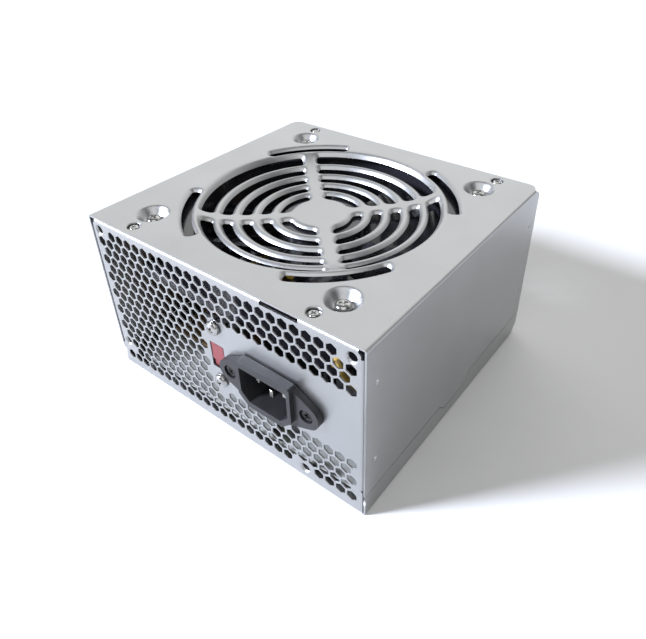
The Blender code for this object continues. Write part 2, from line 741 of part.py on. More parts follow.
def selector_body():
    face = -HALF_D + SHEET + GAP
    bm = bmesh.new()
    add_plate(bm, [rectangle(-5.5, 26.0, 6.5, 63.0)], face, face + 1.2, "Y")
    body = finish("selector_body", bm, "component_black")
    block = bmesh.new()
    add_plate(block, [rectangle(-6.5, 33.5, 7.5, 52.5)], face + 0.6, face + 11.0, "Y")
    combine(body, block, "UNION")
    hollow = bmesh.new()
    half = SELECTOR_OPEN_W / 2
    well = rectangle(SELECTOR_X - half, SELECTOR_LOW, SELECTOR_X + half, SELECTOR_HIGH)
    add_plate(hollow, [well], face - 1, face + WELL_DEPTH, "Y")
    for z in SELECTOR_SCREWS:
        add_plate(hollow, [circle(SELECTOR_SCREW_X, z, CLEAR_R, 10)], face - 1, face + 3, "Y")
    combine(body, hollow, "DIFFERENCE")
    return body


def selector_slider():
    """The red knob at the top of its travel, with a screwdriver groove across its face."""
    half = SELECTOR_OPEN_W / 2 - GAP
    high = SELECTOR_HIGH - GAP
    low = high - SLIDER_H
    middle = (high + low) / 2
    front = -HALF_D + 0.1
    back = -HALF_D + SHEET + WELL_DEPTH
    profile = [(front, low), (front, middle - 0.7), (front + 1.0, middle - 0.5),
               (front + 1.0, middle + 0.5), (front, middle + 0.7), (front, high), (back, high),
               (back, low)]
    slider = plate("selector_slider", [profile], SELECTOR_X - half, SELECTOR_X + half, "red_plastic", "X")
    move_origin(slider, (SELECTOR_X, (front + back) / 2, middle))


# ---------------------------------------------------------------------------------------------
# Fan


def fan_frame():
    """A square frame: a top and a bottom flange on a round wall, with the motor's seat on struts."""
    corner = 4.0
    half = FAN_SIZE / 2
    outline = []
    for sx, sy, start in ((1, 1, 0), (-1, 1, 90), (-1, -1, 180), (1, -1, 270)):
        low = math.radians(start)
        outline += arc(sx * (half - corner), sy * (half - corner), corner, low, low + math.pi / 2, 3)
    holes = [circle(sx * FAN_HOLES, sy * FAN_HOLES, 2.2, 8) for sx in (-1, 1) for sy in (-1, 1)]
    bm = bmesh.new()
    add_plate(bm, [outline, circle(0, 0, FAN_BORE, 40)] + holes, FAN_LOW, FAN_TOP)
    frame = finish("fan_frame", bm, "black_fan_plastic")
    waist = bmesh.new()
    belt = rectangle(-half - 2, -half - 2, half + 2, half + 2)
    add_plate(waist, [belt, circle(0, 0, FAN_BORE + 2.2, 40)], FAN_LOW + 4, FAN_TOP - 4)
    combine(frame, waist, "DIFFERENCE")
    seat = bmesh.new()
    arms = []
    for quarter in range(4):
        middle = math.radians(20) + quarter * math.pi / 2
        arms += arc(0, 0, FAN_BORE + 1.0, middle - 0.04, middle + 0.04, 1)
        arms += arc(0, 0, 21.0, middle + 0.12, middle + math.pi / 2 - 0.12, 4)
    add_plate(seat, [arms], FAN_LOW, FAN_LOW + 2.4)
    combine(frame, seat, "UNION")
    return frame


def blade(bm, turn, rows=3, columns=3):
    """A swept, twisted blade from inside the hub's wall to the tip."""
    layers = ([], [])
    for i in range(rows + 1):
        reach = i / rows
        radius = HUB_R - HUB_WALL / 2 + (BLADE_TIP - HUB_R + HUB_WALL / 2) * reach
        chord = math.radians(36 - 4 * reach)
        start = turn + math.radians(16) * reach ** 1.5
        for layer, side in zip(layers, (-0.7, 0.7)):
            row = []
            for j in range(columns + 1):
                across = j / columns
                angle = start + chord * across
                height = FAN_LOW + 5.2 + side + 13.6 * across ** 0.85
                row.append(bm.verts.new((radius * math.cos(angle), radius * math.sin(angle), height)))
            layer.append(row)
    low, high = layers
    faces = []
    for i in range(rows):
        for j in range(columns):
            for grid in (low, high):
                faces.append(bm.faces.new((grid[i][j], grid[i + 1][j], grid[i + 1][j + 1], grid[i][j + 1])))
    for i in range(rows):
        for j in (0, columns):
            faces.append(bm.faces.new((low[i][j], low[i + 1][j], high[i + 1][j], high[i][j])))
    for j in range(columns):
        for i in (0, rows):
            faces.append(bm.faces.new((low[i][j], low[i][j + 1], high[i][j + 1], high[i][j])))
    bmesh.ops.recalc_face_normals(bm, faces=faces)


def fan_impeller():
    low = FAN_LOW + 3.6
    inner = HUB_R - HUB_WALL
    cup = [(0, HUB_TOP), (HUB_R - 1.2, HUB_TOP), (HUB_R, HUB_TOP - 1.2), (HUB_R, low),
           (inner, low), (inner, HUB_TOP - 1.8), (0, HUB_TOP - 1.8)]
    impeller = turned("fan_impeller", cup, "black_fan_plastic", sides=32)
    blades = bmesh.new()
    for i in range(BLADES):
        blade(blades, 2 * math.pi * i / BLADES)
    combine(impeller, blades, "UNION")
    return impeller


def fan_motor():
    ring_low = FAN_LOW + 5.4
    ring_high = HUB_TOP - 1.8 - GAP
    inner = HUB_R - HUB_WALL
    turned("fan_magnet_ring", [(inner - GAP, ring_high), (inner - GAP, ring_low), (inner - 2.4, ring_low),
                               (inner - 2.4, ring_high)], "ferrite", sides=24)
    turned("fan_shaft", [(0, ring_high), (1.5, ring_high), (1.5, FAN_LOW + 4), (0, FAN_LOW + 4)],
           "bright_steel", sides=12)
    bearing_low = FAN_LOW + 2.4 + GAP
    turned("fan_bearing", [(5.2, 73.5), (5.2, bearing_low), (1.6, bearing_low), (1.6, 73.5)],
           "iron_powder", sides=12)
    turned("fan_driver_board", [(15.0, FAN_LOW + 4.7), (15.0, FAN_LOW + 3.5), (6.0, FAN_LOW + 3.5),
                                (6.0, FAN_LOW + 4.7)], "board_laminate", sides=16)
    poles = []
    for i in range(4):
        middle = i * math.pi / 2
        poles += arc(0, 0, 15.4, middle - 0.6, middle + 0.6, 4)
        poles += arc(0, 0, 8.5, middle + 0.65, middle + math.pi / 2 - 0.65, 2)
    plate("fan_stator", [poles, circle(0, 0, 5.6, 12)], FAN_LOW + 6, FAN_LOW + 17, "copper_wire")


# ---------------------------------------------------------------------------------------------
# Circuit board and its components


def circuit_board():
    outline = rectangle(-BOARD_X, BOARD_REAR, BOARD_X, BOARD_FRONT)
    holes = [circle(x, y, CLEAR_R, 10) for x, y in BOARD_HOLES]
    plate("circuit_board", [outline] + holes, BOARD_LOW, BOARD_TOP, "board_laminate")
    margins = rectangle(-BOARD_X - 3, INSULATION_REAR, BOARD_X + 3, BOARD_FRONT + 3)
    clear = [circle(x, y, BOSS_R, 12) for x, y in (*BOARD_HOLES, EARTH_FOOT)]
    plate("insulating_sheet", [margins] + clear, 2.6, 3.1, "insulation")


def comb(x, fin_side):
    """A heatsink's plan: a plate along Y with its bare face at x and square fins on one side."""
    face = x + fin_side * SINK_PLATE_T
    tip = face + fin_side * FIN_L
    points = [(x, SINK_FRONT), (x, SINK_REAR)]
    pitch = (SINK_FRONT - SINK_REAR) / (2 * SINK_FINS - 1)
    for i in range(SINK_FINS):
        start = SINK_REAR + 2 * i * pitch
        points += [(tip, start), (tip, start + pitch)]
        if i < SINK_FINS - 1:
            points += [(face, start + pitch), (face, start + 2 * pitch)]
    return points


def heatsinks():
    plate("primary_heatsink", [comb(PRIMARY_SINK_X, 1)], PART_LOW, SINK_TOP, "aluminium")
    plate("secondary_heatsink", [comb(SECONDARY_SINK_X, -1)], PART_LOW, SINK_TOP, "aluminium")


def transistor(name, x, side, y):
    """A flat power package that stands with its metal back towards a heatsink."""
    tab = x + side * 1.3
    face = x + side * 4.4
    low = PART_LOW + 4
    profile = [(x, PART_LOW), (tab, PART_LOW), (tab, low), (face, low), (face, low + 9), (tab, low + 9),
               (tab, low + 16), (x, low + 16)]
    plate(name, [profile], y - TRANSISTOR_HALF_W, y + TRANSISTOR_HALF_W, "component_black", "Y")


def transistors():
    for i, y in enumerate(TRANSISTOR_PLACES):
        transistor(f"switching_transistor_{i + 1}", PRIMARY_SINK_X - GAP, -1, y)
        transistor(f"output_rectifier_{i + 1}", SECONDARY_SINK_X + GAP, 1, y)


def can(name, x, y, radius, height):
    """An electrolytic capacitor with a rolled groove near its foot."""
    low = PART_LOW
    profile = [(0, low + height), (radius - 1, low + height), (radius, low + height - 1),
               (radius, low + 4.2), (radius - 0.7, low + 3.2), (radius, low + 2.2), (radius, low),
               (0, low)]
    turned(name, profile, "capacitor_sleeve", (x, y, 0), sides=16)


def capacitors():
    for i, (x, y) in enumerate(BULK_CAPACITORS):
        can(f"bulk_capacitor_{i + 1}", x, y, 11.0, 32.0)
    for i, (x, y) in enumerate(OUTPUT_CAPACITORS):
        can(f"output_capacitor_{i + 1}", x, y, 5.0, 22.0)


def transformer(name, x, y, half_x, half_y, height):
    """A wound transformer: its ferrite core is wider than the coil at the top and the bottom."""
    low = PART_LOW
    bottom = low + height * 0.22
    top = low + height
    cap = top - height * 0.2
    waist = half_x * 0.76
    right = [(half_x, low), (half_x, bottom), (waist, bottom), (waist, cap), (half_x, cap), (half_x, top)]
    profile = [(x + u, z) for u, z in right] + [(x - u, z) for u, z in reversed(right)]
    plate(name, [profile], y - half_y, y + half_y, "yellow_plastic", "Y")


def magnetics():
    transformer("main_transformer", -8.0, 10.0, 15.0, 12.0, 32.0)
    transformer("standby_transformer", 2.0, 48.0, 9.0, 8.0, 18.0)
    transformer("drive_transformer", -22.0, 50.0, 8.0, 7.0, 16.0)
    coil_w, coil_h = CHOKE_COIL
    middle = PART_LOW + coil_h
    ring = [(CHOKE_R + coil_w * u, middle + coil_h * v) for u, v in circle(0, 0, 1, 8, math.pi / 8)]
    turned("output_choke", ring, "copper_wire", CHOKE_PLACE, sides=20)
    frame = [rectangle(38.5, -40.0, 54.0, -27.0), rectangle(43.0, -36.5, 49.5, -30.5)]
    plate("suppression_choke", frame, PART_LOW, PART_LOW + 20, "ferrite")


def small_parts():
    plate("suppression_capacitor", [rectangle(11.0, -42.0, 35.0, -33.0)], PART_LOW, PART_LOW + 15,
          "grey_plastic")
    body = [(0, -10), (3.2, -10), (3.2, -5), (2.6, -4.6), (2.6, 4.6), (3.2, 5), (3.2, 10), (0, 10)]
    turned("fuse", body, "glass_fuse", (-4.0, -37.0, PART_LOW + 3.6), "X", 12)
    bridge = [(-38.0, PART_LOW), (-18.0, PART_LOW), (-18.0, PART_LOW + 13), (-21.0, PART_LOW + 16),
              (-38.0, PART_LOW + 16)]
    plate("bridge_rectifier", [bridge], -39.5, -35.5, "component_black", "Y")
    plate("controller_chip", [rectangle(18.0, 50.0, 38.0, 57.0)], PART_LOW, PART_LOW + 4.2,
          "component_black")


def cable_grommet():
    """A snap-in bush that lines the round outlet, with a flange on each side of the panel."""
    outer = HALF_D + GAP
    inner = HALF_D - SHEET - GAP
    profile = [(9.5, outer + 1.8), (15.2, outer + 1.8), (15.2, outer), (12.6, outer), (12.6, inner),
               (14.4, inner), (14.4, inner - 2.2), (9.5, inner - 6.0)]
    turned("cable_grommet", profile, "grey_plastic", (OUTLET_X, 0, OUTLET_Z), "Y", 18)


def leads():
    """The inlet's three wires and the fan's lead, each along its own route inside the case."""
    foot = PART_LOW + GAP
    start = PIN_END + 3 * GAP
    line_x, line_z = PIN_PLACES["line"]
    neutral_x, neutral_z = PIN_PLACES["neutral"]
    earth_x, earth_z = PIN_PLACES["earth"]
    lead("line_lead", ((INLET_X + line_x, start, INLET_Z + line_z), (22.0, -46.4, 41.0),
                       (14.0, -45.6, 28.0), (8.6, -43.2, 16.0), (8.6, -42.2, foot)), 1.0,
         "brown_lead")
    lead("neutral_lead", ((INLET_X + neutral_x, start, INLET_Z + neutral_z), (37.6, -46.4, 41.0),
                          (38.0, -45.6, 28.0), (37.0, -43.6, 16.0), (36.8, -42.2, foot)), 1.0,
         "black_lead")
    lead("earth_lead", ((INLET_X + earth_x, start, INLET_Z + earth_z), (29.0, -47.0, 36.0),
                        (27.0, -51.0, 22.0), (24.0, -57.0, 8.0), (24.0, -58.0, SHEET + GAP + 0.3)), 1.0,
         "green_lead")
    lead("fan_lead", ((55.0, -60.0 - GAP - 1.3, FAN_LOW + 7.0), (56.0, -63.0, FAN_LOW + 11.5),
                      (58.4, -63.8, FAN_LOW + 13.2), (60.6, -63.2, FAN_LOW + 6.0), (66.4, -56.0, 48.0),
                      (67.8, -46.0, 36.0),
                      (64.0, -20.0, 22.0), (58.0, -14.0, 15.0), (58.0, -14.0, foot)), 1.3,
         "yellow_lead")


def build():
    clear_scene()
    base_chassis()
    top_cover()
    cover_screws()
    fan_screws()
    fan_frame()
    fan_impeller()
    fan_motor()
    inlet_body()
    inlet_pins()
    inlet_screws()
    selector_body()
    selector_slider()
    for i, z in enumerate(SELECTOR_SCREWS):
        pan_screw(f"selector_screw_{i + 1}", (SELECTOR_SCREW_X, -HALF_D - GAP, z), 5.0)
    circuit_board()
    board_screws()
    heatsinks()
    transistors()
    capacitors()
    magnetics()
    small_parts()
    cable_grommet()
    leads()


build()
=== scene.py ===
"""A computer power supply unit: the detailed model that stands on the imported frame.

Shapes are written in millimetres in the frame's axes: +X to the right as one faces the inlet
panel, +Y away from it, +Z up. build() turns them into metres.
"""
import json
import math

import bmesh
import bpy
import numpy as np
from mathutils import Matrix, Vector, geometry


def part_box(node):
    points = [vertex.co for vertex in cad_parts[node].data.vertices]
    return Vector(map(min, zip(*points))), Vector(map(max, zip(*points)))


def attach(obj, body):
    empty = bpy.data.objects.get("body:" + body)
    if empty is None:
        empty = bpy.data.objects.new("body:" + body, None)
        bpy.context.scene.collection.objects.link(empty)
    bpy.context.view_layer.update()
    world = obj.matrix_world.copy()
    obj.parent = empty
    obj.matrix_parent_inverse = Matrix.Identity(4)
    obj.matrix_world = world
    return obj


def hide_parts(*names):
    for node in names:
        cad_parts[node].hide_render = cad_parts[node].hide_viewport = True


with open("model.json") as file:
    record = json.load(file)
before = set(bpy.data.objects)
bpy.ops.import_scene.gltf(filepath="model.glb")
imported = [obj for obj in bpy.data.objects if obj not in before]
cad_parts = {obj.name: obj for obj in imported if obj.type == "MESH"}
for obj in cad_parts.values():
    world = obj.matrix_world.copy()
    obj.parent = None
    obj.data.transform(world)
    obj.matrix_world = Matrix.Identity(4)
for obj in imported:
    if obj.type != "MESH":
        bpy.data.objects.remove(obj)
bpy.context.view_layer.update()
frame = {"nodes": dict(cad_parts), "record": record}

MM = 0.001
TAU = 2 * math.pi


def mm_box(node):
    """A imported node's lowest and highest corners, in millimetres."""
    low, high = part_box(node)
    return low / MM, high / MM


def centre(node):
    """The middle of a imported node's box, in millimetres."""
    low, high = mm_box(node)
    return (low + high) / 2


COVER_HIGH = mm_box("top_cover")[1]
HALF_W = COVER_HIGH.x
HALF_D = COVER_HIGH.y
TOP = COVER_HIGH.z
SHEET = 0.8
BEND = 1.2
GAP = 0.3
PANEL_TOP = mm_box("base_chassis")[1].z
PANEL_HALF = HALF_W - SHEET - GAP
SEAM = ((-69.7, 11.2), (-12.6, 11.2), (-8.6, 7.2), (10.6, 7.2), (14.2, 12.7), (69.7, 12.7))
CORNER_CUT = 4.0
REAR_CUT = 2.0
LATCH = (28.0, 46.0)
LATCH_DROP = 0.6
TAB_LOW = 14.0
TAB_HIGH = 81.0
TAB_DEPTH = 8.0
FLANGE_DEPTH = 10.2

HEX_PITCH = 5.5
HEX_FLATS = 4.5
HEX_ROWS = 16
HEX_TOP_ROW = 79.2
HEX_REACH = 69.0
HEX_CORNER = 0.45
HEX_RIM = 0.12
BLANK_BOXES = ((-7.0, 29.0, HALF_W, 58.0), (-3.0, 58.0, HALF_W, 62.5), (-7.0, 25.0, 38.5, 29.0))
BLANK_CIRCLES = ((0.5, 59.0, 6.0), (0.5, 30.0, 8.2))
MOUNT_HOLES = ((-69.0, 80.0), (69.0, 80.0), (-69.0, 16.0), (45.0, 6.0))
MOUNT_BLANK_R = 5.2
MOUNT_LEVELS = ((2.75, 0.0), (2.6, 0.06), (2.3, 0.3), (2.05, 0.6), (1.9, 0.9))
BOSS_LEVELS = ((7.4, 0.0), (7.0, 0.35), (4.4, 5.85), (4.0, 6.2), (1.7, 6.2))

DISH_R = 56.2
DISH_DEPTH = 6.0
DISH_POWER = 5.5
DISH_SOFT = 0.35
SLOT_MID = 16.6
SLOT_PITCH = 8.7
SLOT_W = 4.4
OUTER_SLOT_W = 5.2
SLOT_COUNT = 5
SPOKE_W = 7.4
SLOT_CORNER = 1.7
LIP_L = 2.15
LIP_D = 1.6
HUB_LIP_D = 1.4
LIP_FLOOR = 7.4
LIP_POWER = 1.6
LIP_REACH = 68.0
DISH_REACH = 63.0
CORNER_SLOT = (57.6, 62.0)
CORNER_SLOT_HALF_ANGLE = math.radians(20.0)
DIMPLE_R = 8.0
DIMPLE_FLOOR_R = 3.3
DIMPLE_HOLE_R = 2.6
DIMPLE_DEPTH = 4.0
SINK_R = 3.35
SINK_HOLE_R = 2.9
SINK_D = 0.3
SIDE_DOTS = ((-64.0, 68.0), (-64.0, 28.5), (63.5, 67.5), (63.5, 31.0))
DOT_R = 1.3
DOT_DEPTH = 0.7

PAN_HEAD = 2.2
SUNK_HEAD = 0.02
BOARD_HEAD = 1.8
BLADES = 9
SKY_DIM = 0.09


# ---------------------------------------------------------------------------------------------
# Materials


def surface(name, dark, light, rough, metallic=0.0, grain=900.0, bump=0.1, depth=0.02, stretch=(1, 1, 1),
            patches=60.0, coat=0.0):
    """A finish whose colour and gloss vary in broad patches and in a fine grain.

    dark and light are the two ends of its colour and rough the two ends of its roughness. grain and
    patches are how many features fit in a metre, and depth is the grain's height in millimetres."""
    made = bpy.data.materials.new(name)
    made.use_nodes = True
    nodes, links = made.node_tree.nodes, made.node_tree.links
    shader = nodes["Principled BSDF"]
    shader.inputs["Metallic"].default_value = metallic
    shader.inputs["Coat Weight"].default_value = coat
    coords = nodes.new("ShaderNodeTexCoord")
    mapping = nodes.new("ShaderNodeMapping")
    mapping.inputs["Scale"].default_value = stretch
    links.new(coords.outputs["Object"], mapping.inputs["Vector"])
    noises = []
    for scale, detail in ((patches, 3.0), (grain, 5.0)):
        noise = nodes.new("ShaderNodeTexNoise")
        noise.inputs["Scale"].default_value = scale
        noise.inputs["Detail"].default_value = detail
        links.new(mapping.outputs["Vector"], noise.inputs["Vector"])
        noises.append(noise.outputs["Fac"])
    blend = nodes.new("ShaderNodeMath")
    blend.operation = "ADD"
    links.new(noises[0], blend.inputs[0])
    links.new(noises[1], blend.inputs[1])
    spread = nodes.new("ShaderNodeMapRange")
    spread.inputs["From Min"].default_value = 0.7
    spread.inputs["From Max"].default_value = 1.3
    links.new(blend.outputs[0], spread.inputs["Value"])
    ramp = nodes.new("ShaderNodeValToRGB")
    ramp.color_ramp.elements[0].color = (*dark, 1.0)
    ramp.color_ramp.elements[1].color = (*light, 1.0)
    links.new(spread.outputs["Result"], ramp.inputs["Fac"])
    links.new(ramp.outputs["Color"], shader.inputs["Base Color"])
    gloss = nodes.new("ShaderNodeMapRange")
    gloss.inputs["From Min"].default_value = 0.35
    gloss.inputs["From Max"].default_value = 0.65
    gloss.inputs["To Min"].default_value = rough[0]
    gloss.inputs["To Max"].default_value = rough[1]
    links.new(noises[1], gloss.inputs["Value"])
    links.new(gloss.outputs["Result"], shader.inputs["Roughness"])
    relief = nodes.new("ShaderNodeBump")
    relief.inputs["Strength"].default_value = bump
    relief.inputs["Distance"].default_value = depth * MM
    links.new(noises[1], relief.inputs["Height"])
    links.new(relief.outputs["Normal"], shader.inputs["Normal"])
    return made


FINISH = {
    "zinc_steel": surface("satin_zinc_steel", (0.395, 0.40, 0.405), (0.44, 0.445, 0.45), (0.34, 0.42), 1.0,
                          grain=1500.0, bump=0.12, depth=0.03, patches=35.0),
    "bright_steel": surface("bright_screw_steel", (0.36, 0.36, 0.36), (0.52, 0.52, 0.51), (0.16, 0.26), 1.0,
                            grain=2500.0, patches=400.0),
    # A dark steel, used for the inlet's sunk screws.
    "black_steel": surface("dark_screw_steel", (0.030, 0.030, 0.031), (0.055, 0.055, 0.056), (0.22, 0.34), 1.0,
                           grain=2500.0, patches=400.0),
    "black_fan_plastic": surface("glossy_fan_plastic", (0.011, 0.011, 0.014), (0.021, 0.021, 0.027),
                                 (0.18, 0.28), grain=1500.0, patches=50.0, coat=0.3),
    "black_inlet_plastic": surface("matt_inlet_plastic", (0.012, 0.012, 0.014), (0.022, 0.022, 0.025),
                                   (0.44, 0.56), grain=3000.0, bump=0.45, depth=0.04, patches=150.0),
    "red_plastic": surface("red_moulded_plastic", (0.17, 0.022, 0.028), (0.24, 0.042, 0.050), (0.30, 0.42),
                           grain=2500.0, patches=250.0),
    "grey_plastic": surface("grey_moulded_plastic", (0.07, 0.07, 0.072), (0.11, 0.11, 0.112), (0.42, 0.55),
                            grain=2800.0, bump=0.3, depth=0.03, patches=120.0),
    # The pin nickel is darker than bare nickel: partly the plating's own colour, partly painted shade for the
    # pins' place deep in the socket.
    "nickel_pin": surface("nickel_plate_with_painted_shade", (0.30, 0.29, 0.27), (0.42, 0.41, 0.38), (0.14, 0.24), 1.0,
                          grain=2600.0, patches=300.0),
    "board_laminate": surface("paper_laminate", (0.16, 0.10, 0.045), (0.22, 0.15, 0.07), (0.45, 0.6),
                              grain=2200.0, patches=140.0, stretch=(1.0, 3.0, 1.0)),
    "insulation": surface("milky_insulation", (0.40, 0.41, 0.40), (0.50, 0.51, 0.50), (0.35, 0.5),
                          grain=1600.0, patches=60.0),
    "aluminium": surface("extruded_aluminium", (0.60, 0.61, 0.62), (0.72, 0.73, 0.74), (0.26, 0.4), 1.0,
                         grain=1800.0, patches=120.0, stretch=(1.0, 1.0, 0.08)),
    "capacitor_sleeve": surface("shrunk_sleeve", (0.010, 0.018, 0.045), (0.022, 0.034, 0.075), (0.22, 0.34),
                                grain=1200.0, patches=90.0),
    "yellow_plastic": surface("polyester_tape", (0.62, 0.42, 0.05), (0.78, 0.57, 0.11), (0.3, 0.42),
                              grain=1500.0, patches=150.0),
    "component_black": surface("moulded_epoxy", (0.020, 0.020, 0.021), (0.036, 0.036, 0.038), (0.42, 0.56),
                               grain=3000.0, bump=0.3, depth=0.03, patches=200.0),
    "ferrite": surface("sintered_ferrite", (0.050, 0.050, 0.054), (0.085, 0.085, 0.09), (0.5, 0.65),
                       grain=2600.0, bump=0.3, depth=0.03, patches=150.0),
    "copper_wire": surface("enamelled_copper", (0.56, 0.23, 0.08), (0.76, 0.38, 0.17), (0.22, 0.34), 1.0,
                           grain=1500.0, patches=250.0, stretch=(1.0, 1.0, 6.0)),
    "sintered_bronze": surface("oiled_bronze", (0.44, 0.30, 0.12), (0.58, 0.42, 0.2), (0.32, 0.46), 1.0,
                               grain=3000.0, patches=200.0),
    "fuse_glass": surface("ceramic_tube", (0.70, 0.71, 0.69), (0.84, 0.85, 0.83), (0.14, 0.24),
                          grain=1200.0, patches=100.0),
    "brown_lead": surface("brown_sleeve", (0.13, 0.045, 0.015), (0.20, 0.08, 0.03), (0.36, 0.48)),
    "black_lead": surface("black_sleeve", (0.015, 0.015, 0.016), (0.03, 0.03, 0.032), (0.36, 0.48)),
    "green_lead": surface("green_sleeve", (0.04, 0.15, 0.025), (0.07, 0.22, 0.04), (0.36, 0.48)),
    "yellow_lead": surface("yellow_sleeve", (0.36, 0.23, 0.045), (0.47, 0.32, 0.08), (0.36, 0.48)),
}


# ---------------------------------------------------------------------------------------------
# Mesh helpers


def settle(name, mesh, slot, body, stands_for, sharp=38):
    """Link a mesh as a piece: its finish, its body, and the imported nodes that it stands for."""
    mesh.materials.clear()
    mesh.materials.append(FINISH[slot])
    mesh.shade_smooth()
    mesh.set_sharp_from_angle(angle=math.radians(sharp))
    obj = bpy.data.objects.new(name, mesh)
    bpy.context.collection.objects.link(obj)
    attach(obj, body)
    if stands_for:
        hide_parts(*stands_for)
    return obj


def build(name, bm, slot, body="chassis", stands_for=(), sharp=38):
    """Turn a bmesh in millimetres into a piece in metres."""
    bmesh.ops.scale(bm, vec=(MM, MM, MM), verts=bm.verts)
    mesh = bpy.data.meshes.new(name)
    bm.to_mesh(mesh)
    bm.free()
    return settle(name, mesh, slot, body, stands_for, sharp)


def thicken(obj, thickness=SHEET):
    """Give a drawn surface its sheet thickness on its inner side, with crisp cut edges."""
    bm = bmesh.new()
    bm.from_mesh(obj.data)
    for edge in bm.edges:
        if edge.is_boundary:
            edge.smooth = False
    bm.to_mesh(obj.data)
    bm.free()
    solid = obj.modifiers.new("thickness", "SOLIDIFY")
    solid.thickness = thickness * MM
    solid.offset = -1.0
    solid.use_even_offset = False
    return obj


def soften(obj, width, segments=3, angle=35):
    """Round the edges of a moulded piece."""
    bevel = obj.modifiers.new("rounding", "BEVEL")
    bevel.width = width * MM
    bevel.segments = segments
    bevel.limit_method = "ANGLE"
    bevel.angle_limit = math.radians(angle)
    bevel.harden_normals = True
    return obj


def circle(x, y, radius, sides, turn=0.0):
    """A closed ring of points."""
    return [(x + radius * math.cos(turn + TAU * i / sides), y + radius * math.sin(turn + TAU * i / sides))
            for i in range(sides)]


def rectangle(low_x, low_y, high_x, high_y):
    return [(low_x, low_y), (high_x, low_y), (high_x, high_y), (low_x, high_y)]


def arc(x, y, radius, start, end, steps):
    """Points along part of a circle, with both of its ends."""
    return [(x + radius * math.cos(start + (end - start) * i / steps),
             y + radius * math.sin(start + (end - start) * i / steps)) for i in range(steps + 1)]


def cut_corner_box(x, z, half_w, half_h, cut):
    """A rectangle whose two lower corners are cut at 45 degrees."""
    return [(x - half_w + cut, z - half_h), (x + half_w - cut, z - half_h),
            (x + half_w, z - half_h + cut), (x + half_w, z + half_h),
            (x - half_w, z + half_h), (x - half_w, z - half_h + cut)]


def rounded(points, radius, steps=3):
    """Round each corner of a convex outline."""
    out = []
    count = len(points)
    for i in range(count):
        before, here, after = (Vector(points[(i + k) % count]) for k in (-1, 0, 1))
        one = (before - here).normalized()
        two = (after - here).normalized()
        half = one.angle(two) / 2
        reach = min(radius / math.tan(half), (before - here).length * 0.49, (after - here).length * 0.49)
        middle = here + (one + two).normalized() * (reach / math.cos(half))
        start = here + one * reach - middle
        end = here + two * reach - middle
        for k in range(steps + 1):
            out.append(tuple(middle + start.slerp(end, k / steps) * start.length))
    return out


def grown(points, distance):
    """Move a closed outline outwards by a distance, away from its own middle."""
    count = len(points)
    middle = sum((Vector(p) for p in points), Vector((0, 0))) / count
    out = []
    for i in range(count):
        run = Vector(points[(i + 1) % count]) - Vector(points[i - 1])
        side = Vector((run.y, -run.x)).normalized()
        here = Vector(points[i])
        if side.dot(here - middle) < 0:
            side.negate()
        out.append(tuple(here + side * distance))
    return out


def strip(bm, one, two, closed=True):
    """Join two rows of vertices with quads."""
    for i in range(0 if closed else 1, len(one)):
        bm.faces.new((one[i - 1], one[i], two[i], two[i - 1]))


def plan(loops, lines=(), points=()):
    """Triangulate the first loop less the others, with extra lines and points on the way.

    Returns the plan's points, its triangles, and which of its points each loop point became."""
    coords, edges, rims = [], [], []
    for loop in loops:
        rim = list(range(len(coords), len(coords) + len(loop)))
        area = sum(a[0] * b[1] - a[1] * b[0] for a, b in zip(loop[-1:] + loop[:-1], loop))
        rims.append(rim if area > 0 else rim[::-1])
        coords += [Vector(p) for p in loop]
    for line in lines:
        edges += [(len(coords) + i, len(coords) + i + 1) for i in range(len(line) - 1)]
        coords += [Vector(p) for p in line]
    coords += [Vector(p) for p in points]
    verts, _, faces, origins, _, owners = geometry.delaunay_2d_cdt(coords, edges, rims, 0, 1e-5)
    became = {old: new for new, olds in enumerate(origins) for old in olds}
    kept = [face for face, owner in zip(faces, owners) if list(owner) == [0]]
    return verts, kept, became


def panel(bm, outline, holes, place):
    """Fill a flat panel. Each hole is a list of rings, from its outermost, with a depth each."""
    verts, faces, became = plan([outline] + [rings[0][0] for rings in holes])
    used = sorted({i for face in faces for i in face})
    made = {i: bm.verts.new(place(*verts[i], 0.0)) for i in used}
    for face in faces:
        bm.faces.new([made[i] for i in face])
    start = len(outline)
    for rings in holes:
        rows = [[made[became[start + i]] for i in range(len(rings[0][0]))]]
        start += len(rings[0][0])
        rows += [[bm.verts.new(place(u, v, depth)) for u, v in ring] for ring, depth in rings[1:]]
        for one, two in zip(rows, rows[1:]):
            strip(bm, one, two)


def punched(points, rim=0.16):
    """A punched hole whose edge is slightly drawn in."""
    return [(grown(points, rim), 0.0), (grown(points, rim * 0.3), rim * 0.25), (points, rim)]


def pressed(x, y, levels, sides):
    """A round form pressed into a panel, from (radius, depth) levels."""
    return [(circle(x, y, radius, sides), depth) for radius, depth in levels]


def fold(bm, near, far, over, turn, steps=8):
    """Round the fold from a panel's edge near-far. over points off the edge, and turn points
    the way that the next panel runs."""
    rows = []
    for i in range(steps + 1):
        angle = math.radians(90 * i / steps)
        step = Vector(over) * math.sin(angle) * BEND + Vector(turn) * (1 - math.cos(angle)) * BEND
        rows.append((bm.verts.new(Vector(near) + step), bm.verts.new(Vector(far) + step)))
    for one, two in zip(rows, rows[1:]):
        bm.faces.new((one[0], one[1], two[1], two[0]))


